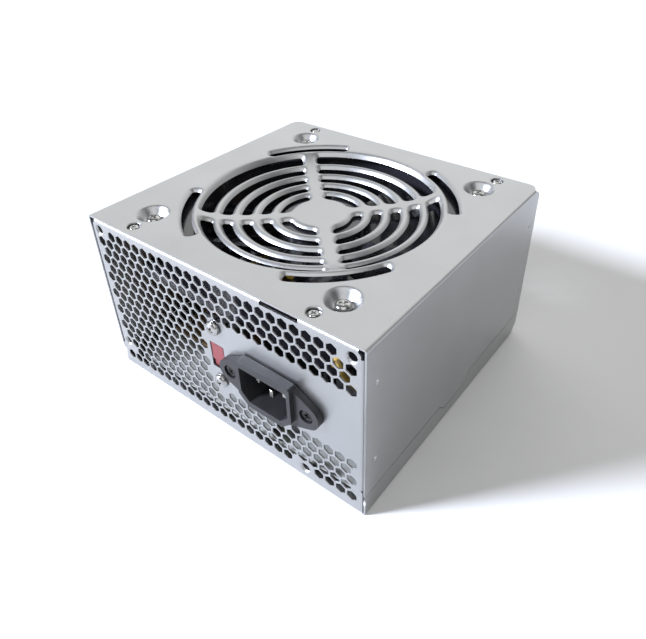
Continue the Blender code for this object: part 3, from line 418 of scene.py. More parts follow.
def prism(bm, loops, low, high, axis="Z"):
    """A plate with holes: its outline extruded from low to high along an axis."""
    places = {"Z": lambda u, v, w: (u, v, w), "Y": lambda u, v, w: (u, w, v), "X": lambda u, v, w: (w, u, v)}
    place = places[axis]
    before = set(bm.verts)
    ends = []
    for level in (low, high):
        edges = []
        rows = []
        for loop in loops:
            row = [bm.verts.new(place(u, v, level)) for u, v in loop]
            edges += [bm.edges.new((row[i - 1], row[i])) for i in range(len(row))]
            rows.append(row)
        bmesh.ops.triangle_fill(bm, use_beauty=True, edges=edges)
        ends.append(rows)
    for one, two in zip(*ends):
        strip(bm, one, two)
    own = [f for f in bm.faces if all(v not in before for v in f.verts)]
    bmesh.ops.recalc_face_normals(bm, faces=own)


def turn(bm, profile, middle=(0, 0, 0), axis="Z", sides=48):
    """Turn a closed (radius, height) profile about an axis."""
    middle = Vector(middle)
    frames = {"Z": ((1, 0, 0), (0, 1, 0), (0, 0, 1)), "Y": ((0, 0, 1), (1, 0, 0), (0, 1, 0)),
              "X": ((0, 1, 0), (0, 0, 1), (1, 0, 0))}
    across, over, along = (Vector(v) for v in frames[axis])
    rings = []
    for radius, height in profile:
        count = 1 if radius == 0 else sides
        rings.append([bm.verts.new(middle + along * height + (across * math.cos(TAU * i / count)
                                   + over * math.sin(TAU * i / count)) * radius) for i in range(count)])
    faces = []
    closed = profile[0][0] != 0
    pairs = zip(rings, rings[1:] + rings[:1]) if closed else zip(rings, rings[1:])
    for one, two in pairs:
        for i in range(sides):
            j = (i + 1) % sides
            corners = [one[i % len(one)], one[j % len(one)], two[j % len(two)], two[i % len(two)]]
            faces.append(bm.faces.new(list(dict.fromkeys(corners))))
    bmesh.ops.recalc_face_normals(bm, faces=faces)


def cut(target, bm, operation="DIFFERENCE"):
    """Cut a solid away from the target, or join it, and keep the result as the target's own mesh."""
    bmesh.ops.scale(bm, vec=(MM, MM, MM), verts=bm.verts)
    mesh = bpy.data.meshes.new("tool")
    bm.to_mesh(mesh)
    bm.free()
    tool = bpy.data.objects.new("tool", mesh)
    bpy.context.collection.objects.link(tool)
    modifier = target.modifiers.new("cut", "BOOLEAN")
    modifier.operation = operation
    modifier.solver = "EXACT"
    modifier.use_self = True
    modifier.object = tool
    graph = bpy.context.evaluated_depsgraph_get()
    result = bpy.data.meshes.new_from_object(target.evaluated_get(graph))
    target.modifiers.remove(modifier)
    old = target.data
    target.data = result
    bpy.data.meshes.remove(old)
    bpy.data.objects.remove(tool)


# ---------------------------------------------------------------------------------------------
# Top cover: a height field over the unfolded sheet


class Slot:
    """A slot along a circle about the origin. Its ends run along a spoke, or square across."""

    def __init__(self, inner, outer, middle, half_angle=None):
        self.mid = (inner + outer) / 2
        self.half = (outer - inner) / 2
        self.middle = middle
        self.half_angle = half_angle

    def distance(self, x, y):
        """Signed distance from the slot's edge, and positive outside it."""
        radius = np.hypot(x, y)
        turned_by = np.abs((np.arctan2(y, x) - self.middle + math.pi) % TAU - math.pi)
        if self.half_angle is None:
            beyond = SPOKE_W / 2 - radius * np.sin(math.pi / 4 - np.minimum(turned_by, math.pi / 2))
        else:
            beyond = radius * np.sin(np.minimum(turned_by - self.half_angle, math.pi / 2))
        u = np.abs(radius - self.mid) - self.half + SLOT_CORNER
        v = beyond + SLOT_CORNER
        return np.hypot(np.maximum(u, 0), np.maximum(v, 0)) + np.minimum(np.maximum(u, v), 0) - SLOT_CORNER

    def angle(self, radius, beyond):
        """How far from its middle a point lies, by its radius and its distance past the end."""
        if self.half_angle is None:
            return math.pi / 4 - math.asin((SPOKE_W / 2 - beyond) / radius)
        return self.half_angle + math.asin(beyond / radius)

    def loop(self, offset, spacing=1.1, corner_steps=6):
        """The slot's edge, moved outwards by an offset."""
        half = self.half - SLOT_CORNER
        reach = SLOT_CORNER + offset
        end = []
        for sign in (1, -1):
            corner = []
            for i in range(corner_steps + 1):
                beta = math.pi / 2 * i / corner_steps
                corner.append((self.mid + sign * (half + reach * math.cos(beta)),
                               reach * math.sin(beta) - SLOT_CORNER))
            end += corner if sign == 1 else corner[::-1]
        points = []
        for sign, side in ((1, end), (-1, end[::-1])):
            placed = [(r, self.middle + sign * self.angle(r, beyond)) for r, beyond in side]
            if points:
                points += self.sweep(points[-1], placed[0], spacing)
            points += placed
        points += self.sweep(points[-1], points[0], spacing)
        return [(r * math.cos(a), r * math.sin(a)) for r, a in points]

    @staticmethod
    def sweep(start, end, spacing):
        """Points between two places on one circle."""
        radius = start[0]
        span = end[1] - start[1]
        steps = max(2, round(abs(span) * radius / spacing))
        return [(radius, start[1] + span * i / steps) for i in range(1, steps)]


def grille_slots():
    """Five slots to a quarter, with a corner slot between quarters."""
    slots = []
    for quarter in range(4):
        for i in range(SLOT_COUNT):
            middle = SLOT_MID + i * SLOT_PITCH
            width = OUTER_SLOT_W if i == SLOT_COUNT - 1 else SLOT_W
            slots.append(Slot(middle - width / 2, middle + width / 2, quarter * math.pi / 2))
        slots.append(Slot(*CORNER_SLOT, (quarter + 0.5) * math.pi / 2, CORNER_SLOT_HALF_ANGLE))
    return slots


def nearest_slot(slots, x, y):
    """The least signed distance from any slot."""
    return np.min([s.distance(x, y) for s in slots], axis=0)


def smooth(value):
    """A soft step from 0 to 1."""
    value = np.clip(value, 0.0, 1.0)
    return value * value * (3 - 2 * value)


FOLD_AT = HALF_W - BEND
FOLD_L = BEND * math.pi / 2


def across(z):
    """How far from its middle line the unfolded cover reaches at a height on its side."""
    return FOLD_AT + FOLD_L + TOP - BEND - z


def fold_cover(u, y, sink):
    """Wrap the unfolded cover into its three faces. sink is how far a point lies below the face."""
    side = np.sign(u)
    far = np.abs(u)
    angle = np.clip((far - FOLD_AT) / BEND, 0, math.pi / 2)
    past = np.maximum(far - FOLD_AT - FOLD_L, 0)
    out_x = np.sin(angle)
    out_z = np.cos(angle)
    x = np.minimum(far, FOLD_AT) + (BEND - sink) * out_x
    z = TOP - BEND + (BEND - sink) * out_z - past
    return np.stack([side * x, y, z], axis=1)


def cover_sheet():
    """Press the dish, lips, dimples and dots into the unfolded sheet, then fold it."""
    slots = grille_slots()
    fan_holes = [centre(f"fan_screw_{i}").xy for i in range(1, 5)]
    screw_holes = [centre(f"cover_screw_{i}").xy for i in range(1, 5)]
    dots = [(hand * across(z), y) for hand in (-1, 1) for y, z in SIDE_DOTS]

    def sink(u, y):
        radius = np.hypot(u, y)
        depth = DISH_DEPTH * (1 - (np.minimum(radius, 70.0) / DISH_R) ** DISH_POWER)
        down = DISH_SOFT * np.logaddexp(0, depth / DISH_SOFT) * (radius < DISH_REACH)
        edge = np.clip(nearest_slot(slots, u, y) / LIP_L, 0, 1)
        lip = np.clip(LIP_FLOOR - depth, HUB_LIP_D, LIP_D)
        down += lip * (1 - edge) ** LIP_POWER * (radius < LIP_REACH)
        for x0, y0 in fan_holes:
            away = np.hypot(u - x0, y - y0)
            down += DIMPLE_DEPTH * smooth((DIMPLE_R - away) / (DIMPLE_R - DIMPLE_FLOOR_R))
        for x0, y0 in screw_holes:
            away = np.hypot(u - x0, y - y0)
            down += SINK_D * smooth((SINK_R - away) / (SINK_R - SINK_HOLE_R))
        for x0, y0 in dots:
            down += DOT_DEPTH * smooth((DOT_R - np.hypot(u - x0, y - y0)) / DOT_R)
        return down

    low_side = [(across(z + GAP), y) for y, z in SEAM]
    low_side[0] = (low_side[0][0], -HALF_D)
    low_side[-1] = (low_side[-1][0], HALF_D)
    bend_end = FOLD_AT + FOLD_L
    corner = arc(FOLD_AT - CORNER_CUT, HALF_D - CORNER_CUT, CORNER_CUT, math.pi / 2, 0, 6)
    side_corner = [(2 * FOLD_AT + FOLD_L - u, y) for u, y in reversed(corner)]
    right = low_side + side_corner[::-1] + corner[::-1]
    outline = right + [(-u, y) for u, y in reversed(right)]

    fixed = [outline]
    free = []
    for slot in slots:
        fixed.append(slot.loop(0.0))
        for offset in (0.12, 0.35, 0.7, 1.1, 1.55, 2.1, 2.6):
            loop = np.array(slot.loop(offset))
            near = nearest_slot(slots, loop[:, 0], loop[:, 1])
            free.append(loop[near > offset - 0.04])
    rings = [np.array(circle(0, 0, r, max(8, int(r * 5)))) for r in
             (2.0, 5.0, 8.0, 10.5, 55.0, 55.6, 56.2, 56.8, 57.3, 57.8, 58.4, 59.2, 60.2)]
    diagonal = np.arange(11.0, 66.0, 1.2)
    for quarter in range(4):
        way = math.pi / 4 + quarter * math.pi / 2
        for shift in (-0.7, 0.7):
            rings.append(np.array([(r * math.cos(way) - shift * math.sin(way),
                                    r * math.sin(way) + shift * math.cos(way)) for r in diagonal]))
    for ring in rings:
        near = nearest_slot(slots, ring[:, 0], ring[:, 1])
        free.append(ring[near > 2.75])
    for places, radii, hole, sides in (
            (fan_holes, np.arange(3.2, 8.6, 0.4), DIMPLE_HOLE_R, 40),
            (screw_holes, (3.0, 3.1, 3.2, 3.35, 3.8), SINK_HOLE_R, 36),
            (dots, (0.25, 0.5, 0.75, 1.0, 1.3, 1.7), None, 16)):
        for x0, y0 in places:
            if hole:
                fixed.append(circle(x0, y0, hole, sides))
            free += [np.array(circle(x0, y0, r, sides)) for r in radii]
    lines = []
    for u in [FOLD_AT - 0.5] + [FOLD_AT + FOLD_L * i / 8 for i in range(9)] + [bend_end + 0.5]:
        stop = HALF_D - CORNER_CUT - (0.0 if FOLD_AT - 0.01 < u < bend_end + 0.01 else 0.01)
        ys = np.linspace(-HALF_D, stop, 12)
        lines += [np.stack([np.full(len(ys), hand * u), ys], axis=1) for hand in (-1, 1)]
    verts, faces, _ = plan(fixed, lines, [p for part in free for p in part])
    flat = np.array([tuple(v) for v in verts])
    used, index = np.unique(np.array(faces), return_inverse=True)
    flat = flat[used]
    tris = index.reshape(-1, 3)
    solid = fold_cover(flat[:, 0], flat[:, 1], sink(flat[:, 0], flat[:, 1]))
    mesh = bpy.data.meshes.new("cover_sheet")
    mesh.from_pydata((solid * MM).tolist(), [], tris.tolist())
    mesh.validate()
    cover = settle("cover_sheet", mesh, "zinc_steel", "chassis", ["top_cover"], 60)
    thicken(cover)


# ---------------------------------------------------------------------------------------------
# Chassis: panels and folds, drawn as the outer surface


def honeycomb():
    """The rear panel's hexagons, less those that would meet a hole or the blank area."""
    blank = [(x, z, MOUNT_BLANK_R) for x, z in MOUNT_HOLES] + list(BLANK_CIRCLES)
    columns = int(HALF_W / HEX_PITCH)
    holes = []
    for row in range(HEX_ROWS):
        z = HEX_TOP_ROW - row * HEX_PITCH * math.sqrt(3) / 2
        shift = HEX_PITCH / 2 if row % 2 else 0.0
        for column in range(-columns, columns):
            x = column * HEX_PITCH + shift
            near = any(math.hypot(x - cx, z - cz) < r for cx, cz, r in blank)
            boxed = any(x0 < x < x1 and z0 < z < z1 for x0, z0, x1, z1 in BLANK_BOXES)
            if abs(x) < HEX_REACH and not near and not boxed:
                corners = circle(x, z, HEX_FLATS / 2 / math.cos(math.pi / 6), 6, math.pi / 2)
                holes.append(punched(rounded(corners, HEX_CORNER, 2), HEX_RIM))
    return holes


def end_outline(low_half, low_cut, latch):
    """The outline of an end panel inside its folds, with a notch for the latch."""
    top = PANEL_TOP - BEND
    inner = PANEL_HALF - BEND
    right = [(low_half, BEND), (PANEL_HALF, BEND + low_cut), (PANEL_HALF, TAB_LOW - SHEET),
             (inner, TAB_LOW), (inner, TAB_HIGH), (inner, top - BEND), (inner - BEND, top)]
    left = [(-x, z) for x, z in reversed(right)]
    notch = []
    if latch:
        floor = top - LATCH_DROP
        notch = [(latch[1], top), (latch[1], floor), (latch[0], floor), (latch[0], top)]
    return right + notch + left


def top_flange(bm, side, screws, latch):
    """The flange under the cover, with the drawn holes for its screws."""
    edge = side * (HALF_D - BEND)
    inner = side * (HALF_D - FLANGE_DEPTH)
    end = PANEL_HALF - 2 * BEND
    outline = [(-end, edge), (-end, inner), (end, inner), (end, edge)]
    spans = [(-end, end)]
    if latch:
        notch = edge - side
        outline += [(latch[1], edge), (latch[1], notch), (latch[0], notch), (latch[0], edge)]
        spans = [(-end, latch[0]), (latch[1], end)]
    holes = [pressed(x, y, ((3.6, 0.0), (1.4, 1.3)), 24) for x, y in screws]
    panel(bm, outline, holes, lambda u, v, w: (u, v, PANEL_TOP - w))
    wall = side * HALF_D
    for low, high in spans:
        fold(bm, (low, wall, PANEL_TOP - BEND), (high, wall, PANEL_TOP - BEND), (0, 0, 1), (0, -side, 0))


def side_tabs(bm, side):
    """The tabs that an end panel turns along the two sides."""
    wall = side * HALF_D
    edge = side * (HALF_D - BEND)
    inner = side * (HALF_D - TAB_DEPTH)
    outline = [(edge, TAB_LOW), (inner, TAB_LOW + 3), (inner, TAB_HIGH - 3), (edge, TAB_HIGH)]
    for hand in (-1, 1):
        panel(bm, outline, [], lambda u, v, w: (hand * PANEL_HALF, u, v))
        start = hand * (PANEL_HALF - BEND)
        fold(bm, (start, wall, TAB_LOW), (start, wall, TAB_HIGH), (hand, 0, 0), (0, -side, 0))


def chassis_bottom(bm):
    """The bottom with its bosses, the folds to the end panels, and the low side flanges."""
    rear_half = PANEL_HALF - REAR_CUT
    front_half = PANEL_HALF - CORNER_CUT
    side = HALF_W - BEND
    side_rear = SEAM[0][0]
    side_front = HALF_D - 5.0
    right = [(rear_half, BEND - HALF_D), (side, side_rear), (side, side_front), (front_half, HALF_D - BEND)]
    left = [(-x, y) for x, y in reversed(right)]
    bosses = [centre(f"board_screw_{i}").xy for i in range(1, 5)]
    holes = [pressed(x, y, BOSS_LEVELS, 32) for x, y in bosses]
    panel(bm, right + left, holes, lambda u, v, w: (u, v, w))
    fold(bm, (-rear_half, BEND - HALF_D, 0), (rear_half, BEND - HALF_D, 0), (0, -1, 0), (0, 0, 1))
    fold(bm, (-front_half, HALF_D - BEND, 0), (front_half, HALF_D - BEND, 0), (0, 1, 0), (0, 0, 1))
    corner = BEND + SEAM[-1][0] - side_front
    flange = [(side_rear, BEND), (side_front, BEND), (SEAM[-1][0], corner)] + list(reversed(SEAM))
    for hand in (-1, 1):
        panel(bm, flange, [], lambda u, v, w: (hand * HALF_W, u, v))
        fold(bm, (hand * side, side_rear, 0), (hand * side, side_front, 0), (hand, 0, 0), (0, 0, 1))


INLET_LOW, INLET_HIGH = mm_box("inlet_body")
INLET_X = (INLET_LOW.x + INLET_HIGH.x) / 2
INLET_Z = centre("inlet_screw_1").z
INLET_SCREWS = [centre(f"inlet_screw_{i}").x for i in (1, 2)]
SELECTOR_SCREWS = [centre(f"selector_screw_{i}") for i in (1, 2)]
KNOB_LOW, KNOB_HIGH = mm_box("selector_slider")
OUTLET = centre("cable_grommet")
OUTLET_R = 13.0
VENTS = range(0, 57, 8)


def chassis_sheet():
    """The base chassis: one folded sheet."""
    bm = bmesh.new()
    chassis_bottom(bm)
    knob_x = (KNOB_LOW.x + KNOB_HIGH.x) / 2
    holes = honeycomb()
    holes.append(punched(rounded(cut_corner_box(INLET_X, INLET_Z, 13.9, 10.2, 4.6), 0.6)))
    opening = rectangle(knob_x - 4.0, KNOB_HIGH.z - 13.3, knob_x + 4.0, KNOB_HIGH.z + 0.3)
    holes.append(punched(rounded(opening, 0.5)))
    for x, z in MOUNT_HOLES:
        holes.append(pressed(x, z, MOUNT_LEVELS, 32))
    holes += [punched(circle(x, INLET_Z, 1.7, 20)) for x in INLET_SCREWS]
    holes += [punched(circle(p.x, p.z, 1.7, 20)) for p in SELECTOR_SCREWS]
    rear = end_outline(PANEL_HALF - REAR_CUT, 0.0, LATCH)
    panel(bm, rear, holes, lambda u, v, w: (u, w - HALF_D, v))
    vents = [punched(rounded(rectangle(x - 1.5, 30.0, x + 1.5, 60.0), 1.45, 5)) for x in VENTS]
    vents.append(punched(circle(OUTLET.x, OUTLET.z, OUTLET_R, 48)))
    front = end_outline(PANEL_HALF - CORNER_CUT, CORNER_CUT, None)
    panel(bm, front, vents, lambda u, v, w: (u, HALF_D - w, v))
    screws = [centre(f"cover_screw_{i}").xy for i in range(1, 5)]
    top_flange(bm, -1, screws[:2], LATCH)
    top_flange(bm, 1, screws[2:], None)
    side_tabs(bm, -1)
    side_tabs(bm, 1)
    bmesh.ops.remove_doubles(bm, verts=bm.verts, dist=0.001)
    bmesh.ops.recalc_face_normals(bm, faces=bm.faces)
    lowest = min(bm.faces, key=lambda f: f.calc_center_median().length)
    if lowest.normal.z > 0:
        bmesh.ops.reverse_faces(bm, faces=bm.faces)
    sheet = thicken(build("chassis_sheet", bm, "zinc_steel", stands_for=["base_chassis"]))
    flat = sheet.modifiers.new("flat_panels", "WEIGHTED_NORMAL")
    flat.mode = "FACE_AREA"
    flat.weight = 50
    flat.keep_sharp = True


# ---------------------------------------------------------------------------------------------
# Screws


def cross(bm, depth, reach, width, top):
    """The tapered cross of a screwdriver recess, from above the head down to a point."""
    for turned_by in (0, math.pi / 2):
        rows = []
        for level, half_l, half_w in ((top + 0.5, reach * 1.12, width * 0.62),
                                      (top - depth, reach * 0.45, width * 0.3)):
            corners = [Vector((*corner, level)) for corner in rectangle(-half_l, -half_w, half_l, half_w)]
            rows.append([bm.verts.new(Matrix.Rotation(turned_by, 3, "Z") @ c) for c in corners])
        strip(bm, rows[0], rows[1])
        bm.faces.new(rows[0])
        bm.faces.new(rows[1])
    bmesh.ops.recalc_face_normals(bm, faces=bm.faces)


def screw_mesh(name, profile, recess):
    """A screw that points down from z = 0, with a cross cut in its head."""
    bm = bmesh.new()
    turn(bm, profile, sides=48)
    obj = build(name, bm, "bright_steel")
    tool = bmesh.new()
    cross(tool, *recess)
    cut(obj, tool)
    mesh = obj.data
    bpy.data.objects.remove(obj)
    return mesh


def place_screw(name, mesh, where, axis, spin, node, slot="bright_steel"):
    """Put a screw at a place, pointing down or along +Y."""
    copy = mesh.copy()
    turned_by = Matrix.Rotation(spin, 4, "Z")
    if axis == "Y":
        turned_by = Matrix.Rotation(math.radians(90), 4, "X") @ turned_by
    copy.transform(Matrix.Translation(Vector(where) * MM) @ turned_by)
    settle(name, copy, slot, "chassis", [node], 40)


def screws_down(kind, mesh, head, first_spin, spin_step):
    """Put four screws in their packed places, pointing down, with their heads' height above the seat."""
    for i in range(1, 5):
        low, high = mm_box(f"{kind}_{i}")
        where = ((low.x + high.x) / 2, (low.y + high.y) / 2, high.z - head)
        place_screw(f"{kind}_head_{i}", mesh, where, "Z", first_spin + spin_step * i, f"{kind}_{i}")


def screws():
    """Pan heads on the fan, sunk heads on the cover, small ones on the rear, pan heads on the board."""
    pan = [(0, 2.2), (1.2, 2.14), (2.1, 1.92), (2.8, 1.5), (3.2, 0.95), (3.3, 0.5), (3.3, 0.12), (3.18, 0),
           (1.7, 0), (1.7, -8.6), (1.2, -9.4), (0, -9.7)]
    screws_down("fan_screw", screw_mesh("pan", pan, (1.1, 2.1, 1.15, PAN_HEAD)), PAN_HEAD, 0.5, 0.9)
    sunk = [(0, 0.02), (1.1, -0.02), (1.65, -0.12), (1.95, -0.3), (2.05, -0.55), (2.05, -0.8), (1.25, -1.5),
            (1.1, -1.7), (1.1, -5.6), (0, -6.3)]
    screws_down("cover_screw", screw_mesh("sunk", sunk, (0.9, 1.2, 0.8, 0.0)), SUNK_HEAD, 0.3, 1.3)
    small = [(0, 2.2), (1.3, 2.12), (2.3, 1.85), (3.0, 1.4), (3.35, 0.8), (3.4, 0.4), (3.4, 0.1), (3.3, 0),
             (1.4, 0), (1.4, -4.2), (0, -5.0)]
    small_mesh = screw_mesh("small", small, (1.4, 1.7, 0.9, PAN_HEAD))
    for i, place in enumerate(SELECTOR_SCREWS):
        seat = mm_box(f"selector_screw_{i + 1}")[0].y + PAN_HEAD
        place_screw(f"selector_screw_head_{i + 1}", small_mesh, (place.x, seat, place.z), "Y", 0.4 + 0.8 * i,
                    f"selector_screw_{i + 1}")
    flat = [(0, 0.0), (2.5, -0.02), (2.75, -0.15), (2.8, -0.7), (1.3, -1.7), (1.3, -8.5), (0, -9.1)]
    flat_mesh = screw_mesh("flat", flat, (1.2, 1.5, 0.85, 0.0))
    for i in (1, 2):
        low, high = mm_box(f"inlet_screw_{i}")
        place_screw(f"inlet_screw_head_{i}", flat_mesh, ((low.x + high.x) / 2, low.y, INLET_Z), "Y", 0.7 * i,
                    f"inlet_screw_{i}", "black_steel")
    board = [(0, 1.8), (1.0, 1.75), (1.8, 1.5), (2.5, 1.1), (2.8, 0.6), (2.8, 0), (1.3, 0), (1.3, -4),
             (0, -4.6)]
    screws_down("board_screw", screw_mesh("board", board, (1.1, 1.4, 0.75, BOARD_HEAD)), BOARD_HEAD, 0.0, 0.5)


# ---------------------------------------------------------------------------------------------
# Mains inlet and selector


def inlet():
    """The mains inlet: flange, socket, screw sinks and three pins."""
    face = -HALF_D - GAP
    flange = 2.8
    right = arc(INLET_SCREWS[1], INLET_Z, 6.0, math.radians(-60), math.radians(60), 14)
    left = arc(INLET_SCREWS[0], INLET_Z, 6.0, math.radians(120), math.radians(240), 14)
    high = INLET_Z + 10.85
    low = INLET_Z - 10.85
    outline = right + [(INLET_X + 12.5, high), (INLET_X - 12.5, high)] + left + [
        (INLET_X - 9.5, low), (INLET_X + 9.5, low)]
    bm = bmesh.new()
    prism(bm, [outline], face - flange, face, "Y")
    body = build("inlet_housing", bm, "black_inlet_plastic", stands_for=["inlet_body"])
    core = bmesh.new()
    block = rounded(cut_corner_box(INLET_X, INLET_Z, 14.0, 11.25, 5.0), 1.0, 4)
    prism(core, [block], INLET_LOW.y, face - 0.6, "Y")
    barrel = rounded(cut_corner_box(INLET_X, INLET_Z, 13.5, 9.8, 4.4), 1.0, 4)
    prism(core, [barrel], face - 1.0, INLET_HIGH.y, "Y")
    cut(body, core, "UNION")
    hollow = bmesh.new()
    socket = rounded(cut_corner_box(INLET_X, INLET_Z, 12.25, 8.25, 4.0), 0.8, 4)
    prism(hollow, [socket], INLET_LOW.y - 1, INLET_LOW.y + 18.0, "Y")
    sink = [(0, -1.0), (3.2, -1.0), (3.2, 1.5), (1.7, 2.5), (1.7, 5.0), (0, 5.0)]
    for x in INLET_SCREWS:
        turn(hollow, sink, (x, face - flange, INLET_Z), "Y", 36)
    cut(body, hollow)
    for name in ("line", "neutral", "earth"):
        pin_low, pin_high = mm_box("inlet_pin_" + name)
        slot = bmesh.new()
        prism(slot, [rectangle(pin_low.x - GAP, pin_low.z - GAP, pin_high.x + GAP, pin_high.z + GAP)],
              INLET_LOW.y + 17.0, INLET_HIGH.y + 1, "Y")
        cut(body, slot)
        pin = bmesh.new()
        prism(pin, [rectangle(pin_low.x, pin_low.z, pin_high.x, pin_high.z)], pin_low.y, pin_high.y, "Y")
        blade = build("inlet_blade_" + name, pin, "nickel_pin", stands_for=["inlet_pin_" + name])
        soften(blade, 0.55, 4)
    soften(body, 0.35, 3)


def selector():
    """The sliding knob, with the shutter below it."""
    middle = (KNOB_LOW + KNOB_HIGH) / 2
    half = (KNOB_HIGH - KNOB_LOW) / 2
    bm = bmesh.new()
    front, back = KNOB_LOW.y, KNOB_HIGH.y
    shutter = -HALF_D + SHEET + 0.08
    profile = [(front, KNOB_LOW.z), (front + 0.12, middle.z - 1.2), (front + 0.12, middle.z + 1.8),
               (front, KNOB_HIGH.z), (back, KNOB_HIGH.z), (back, KNOB_LOW.z), (shutter + 0.15, KNOB_LOW.z),
               (shutter + 0.15, KNOB_LOW.z - 4.0), (shutter, KNOB_LOW.z - 4.0), (shutter, KNOB_LOW.z)]
    prism(bm, [profile], middle.x - half.x, middle.x + half.x, "X")
    knob = build("selector_knob_cap", bm, "red_plastic", "selector_knob", ["selector_slider"])
    soften(knob, 0.07, 2)


# ---------------------------------------------------------------------------------------------
# Fan


def fan():
    """The fan housing with its motor seat and arms, and the impeller."""
    low, high = mm_box("fan_frame")
    half = high.x
    corner = 4.0
    bore = 57.3
    outline = []
    for sx, sy, start in ((1, 1, 0), (-1, 1, 90), (-1, -1, 180), (1, -1, 270)):
        begin = math.radians(start)
        outline += arc(sx * (half - corner), sy * (half - corner), corner, begin, begin + math.pi / 2, 8)
    places = [centre(f"fan_screw_{i}").xy for i in range(1, 5)]
    bm = bmesh.new()
    prism(bm, [outline, circle(0, 0, bore, 128)] + [circle(x, y, 2.2, 20) for x, y in places], low.z, high.z)
    body = build("fan_housing", bm, "black_fan_plastic", stands_for=["fan_frame"])
    waist = bmesh.new()
    prism(waist, [rectangle(-half - 2, -half - 2, half + 2, half + 2), circle(0, 0, bore + 2.2, 128)],
          low.z + 4, high.z - 4)
    cut(body, waist)
    seat = bmesh.new()
    arms = []
    for quarter in range(4):
        middle = math.radians(20) + quarter * math.pi / 2
        arms += arc(0, 0, bore + 1.0, middle - 0.04, middle + 0.04, 1)
        arms += arc(0, 0, 21.0, middle + 0.12, middle + math.pi / 2 - 0.12, 16)
    prism(seat, [arms], low.z, low.z + 2.4)
    cut(body, seat, "UNION")
    soften(body, 0.4, 2)

    hub_low, hub_high = mm_box("fan_impeller")
    hub_r = 20.0
    inner = hub_r - 1.6
    bm = bmesh.new()
    cup = [(0, hub_high.z - 0.3), (11.5, hub_high.z - 0.3), (12.0, hub_high.z)]
    cup += arc(hub_r - 2.4, hub_high.z - 2.4, 2.4, math.pi / 2, 0, 8)
    cup += [(hub_r, hub_low.z), (inner, hub_low.z), (inner, hub_high.z - 1.8), (0, hub_high.z - 1.8)]
    turn(bm, cup, sides=96)
    impeller = build("fan_wheel", bm, "black_fan_plastic", "fan_rotor", ["fan_impeller"])
    wings = bmesh.new()
    for i in range(BLADES):
        wing(wings, TAU * i / BLADES, hub_r - 0.8, low.z + 5.2)
    cut(impeller, wings, "UNION")


def wing(bm, start_angle, root, height, rows=12, columns=14, tip=55.0):
    """A swept, twisted blade with a rounded nose and a thin tail."""
    layers = ([], [])
    for i in range(rows + 1):
        reach = i / rows
        radius = root + (tip - root) * reach
        chord = math.radians(36 - 4 * reach)
        start = start_angle + math.radians(16) * reach ** 1.5
        for layer, side in zip(layers, (-1, 1)):
            row = []
            for j in range(columns + 1):
                along = j / columns
                angle = start + chord * along
                half = 0.7 * (0.25 + 0.75 * math.sqrt(max(0.0, math.sin(math.pi * along))))
                level = height + 13.6 * along ** 0.85 + side * half
                row.append(bm.verts.new((radius * math.cos(angle), radius * math.sin(angle), level)))
            layer.append(row)
    low, high = layers
    faces = []
    for i in range(rows):
        for j in range(columns):
            for grid in (low, high):
                faces.append(bm.faces.new((grid[i][j], grid[i + 1][j], grid[i + 1][j + 1], grid[i][j + 1])))
    for i in range(rows):
        for j in (0, columns):
            faces.append(bm.faces.new((low[i][j], low[i + 1][j], high[i + 1][j], high[i][j])))
    for j in range(columns):
        for i in (0, rows):
            faces.append(bm.faces.new((low[i][j], low[i][j + 1], high[i][j + 1], high[i][j])))
    bmesh.ops.recalc_face_normals(bm, faces=faces)


def grommet():
    """The empty bush of the cable outlet."""
    outer = HALF_D + GAP
    inner = HALF_D - SHEET - GAP
    profile = [(9.5, outer + 1.0), (10.3, outer + 1.8), (14.2, outer + 1.8), (15.0, outer + 1.3),
               (15.2, outer + 0.6), (15.2, outer), (12.6, outer), (12.6, inner), (14.4, inner),
               (14.2, inner - 1.6), (13.6, inner - 2.4), (9.9, inner - 6.0), (9.5, inner - 5.6)]
    bm = bmesh.new()
    turn(bm, profile, (OUTLET.x, 0, OUTLET.z), "Y", 72)
    build("outlet_bush", bm, "grey_plastic", stands_for=["cable_grommet"])


# ---------------------------------------------------------------------------------------------
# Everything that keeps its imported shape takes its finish


def finish_nodes():
    """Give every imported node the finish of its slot."""
    for part in frame["record"]["subparts"]:
        mesh = frame["nodes"][part["node"]].data
        mesh.materials.clear()
        mesh.materials.append(FINISH[part["material_slot"]])


# ---------------------------------------------------------------------------------------------
# Camera, light and floor


def camera():
    """The fitted camera: its place, its axes and its off-centre lens."""
    data = bpy.data.cameras.new("camera")
    data.sensor_width = 36.0
    data.lens = 33.911
    data.shift_x = -0.02273
    data.shift_y = -0.08977
    data.clip_start = 0.01
    data.clip_end = 20.0
    cam = bpy.data.objects.new("camera", data)
    bpy.context.collection.objects.link(cam)
    right = Vector((0.79382106, 0.60794903, -0.01568783))
    up = Vector((-0.32668669, 0.44804082, 0.83218702))
    back = -Vector((-0.51295608, 0.65548257, -0.55427309))
    matrix = Matrix((right, up, back)).transposed().to_4x4()
    matrix.translation = Vector((0.1563149, -0.1879673, 0.2153721))
    cam.matrix_world = matrix
    bpy.context.scene.camera = cam


def softbox(name, place, size, power):
    """A rectangular light that faces the object."""
    data = bpy.data.lights.new(name, "AREA")
    data.shape = "RECTANGLE"
    data.size, data.size_y = size
    data.energy = power
    obj = bpy.data.objects.new(name, data)
    bpy.context.collection.objects.link(obj)
    obj.location = place
    obj.rotation_euler = (-Vector(place)).to_track_quat("-Z", "Y").to_euler()


def strength_step(nodes, links, source, limits, strengths):
    """A smooth step from one strength to another as a value passes between two limits."""
    step = nodes.new("ShaderNodeMapRange")
    step.interpolation_type = "SMOOTHSTEP"
    step.inputs["From Min"].default_value, step.inputs["From Max"].default_value = limits
    step.inputs["To Min"].default_value, step.inputs["To Max"].default_value = strengths
    links.new(source, step.inputs["Value"])
    return step.outputs["Result"]


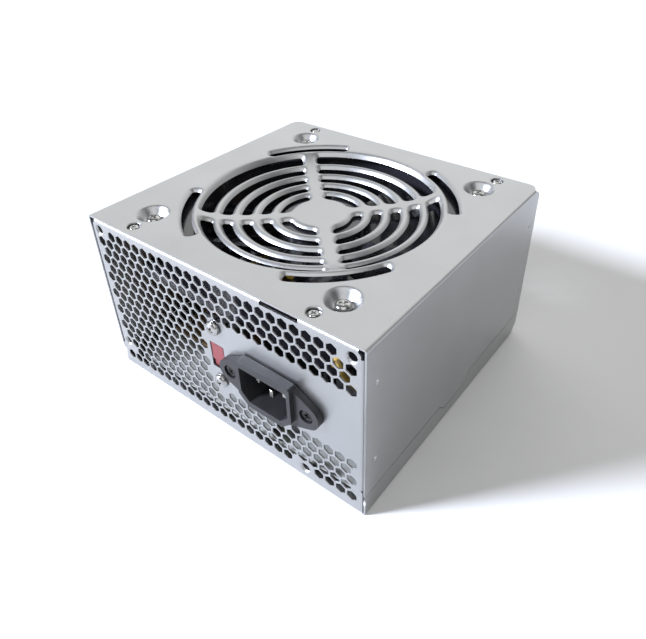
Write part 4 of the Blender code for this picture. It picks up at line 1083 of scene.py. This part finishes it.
def studio():
    """A pale floor, a dim sky that is bright low down and at the back left, a sun and two softboxes."""
    bm = bmesh.new()
    bmesh.ops.create_grid(bm, x_segments=40, y_segments=40, size=3.0)
    mesh = bpy.data.meshes.new("floor")
    bm.to_mesh(mesh)
    bm.free()
    mesh.materials.append(surface("pale_floor", (0.69, 0.69, 0.69), (0.73, 0.73, 0.73), (0.55, 0.7),
                                  grain=40.0, bump=0.0, patches=3.0))
    floor = bpy.data.objects.new("floor", mesh)
    bpy.context.collection.objects.link(floor)
    world = bpy.data.worlds.new("studio")
    bpy.context.scene.world = world
    world.use_nodes = True
    nodes, links = world.node_tree.nodes, world.node_tree.links
    back = nodes["Background"]
    coords = nodes.new("ShaderNodeTexCoord")
    toward = nodes.new("ShaderNodeVectorMath")
    toward.operation = "DOT_PRODUCT"
    toward.inputs[1].default_value = Vector((-0.52, 0.71, 0.47)).normalized()
    links.new(coords.outputs["Generated"], toward.inputs[0])
    glow = strength_step(nodes, links, toward.outputs["Value"], (0.60, 0.93), (SKY_DIM, 1.42))
    height = nodes.new("ShaderNodeSeparateXYZ")
    links.new(coords.outputs["Generated"], height.inputs[0])
    rim = strength_step(nodes, links, height.outputs["Z"], (0.0, 0.42), (0.75, SKY_DIM))
    brighter = nodes.new("ShaderNodeMath")
    brighter.operation = "MAXIMUM"
    links.new(glow, brighter.inputs[0])
    links.new(rim, brighter.inputs[1])
    links.new(brighter.outputs["Value"], back.inputs["Strength"])
    back.inputs["Color"].default_value = (0.99, 1.0, 0.99, 1)
    key = bpy.data.lights.new("key", "SUN")
    key.energy = 7.6
    key.angle = math.radians(12)
    key.color = (0.87, 0.93, 1.07)
    sun = bpy.data.objects.new("key", key)
    bpy.context.collection.objects.link(sun)
    sun.rotation_euler = Vector((0.62, 0.62, -0.48)).to_track_quat("-Z", "Y").to_euler()
    softbox("overhead", (0.42, -0.52, 0.92), (0.9, 1.2), 4.6)
    softbox("fill", (0.48, 0.79, 0.77), (1.0, 0.8), 1.6)
    settings = bpy.context.scene.view_settings
    settings.view_transform = "Standard"
    settings.look = "None"


camera()
studio()
cover_sheet()
chassis_sheet()
screws()
inlet()
selector()
fan()
grommet()
finish_nodes()
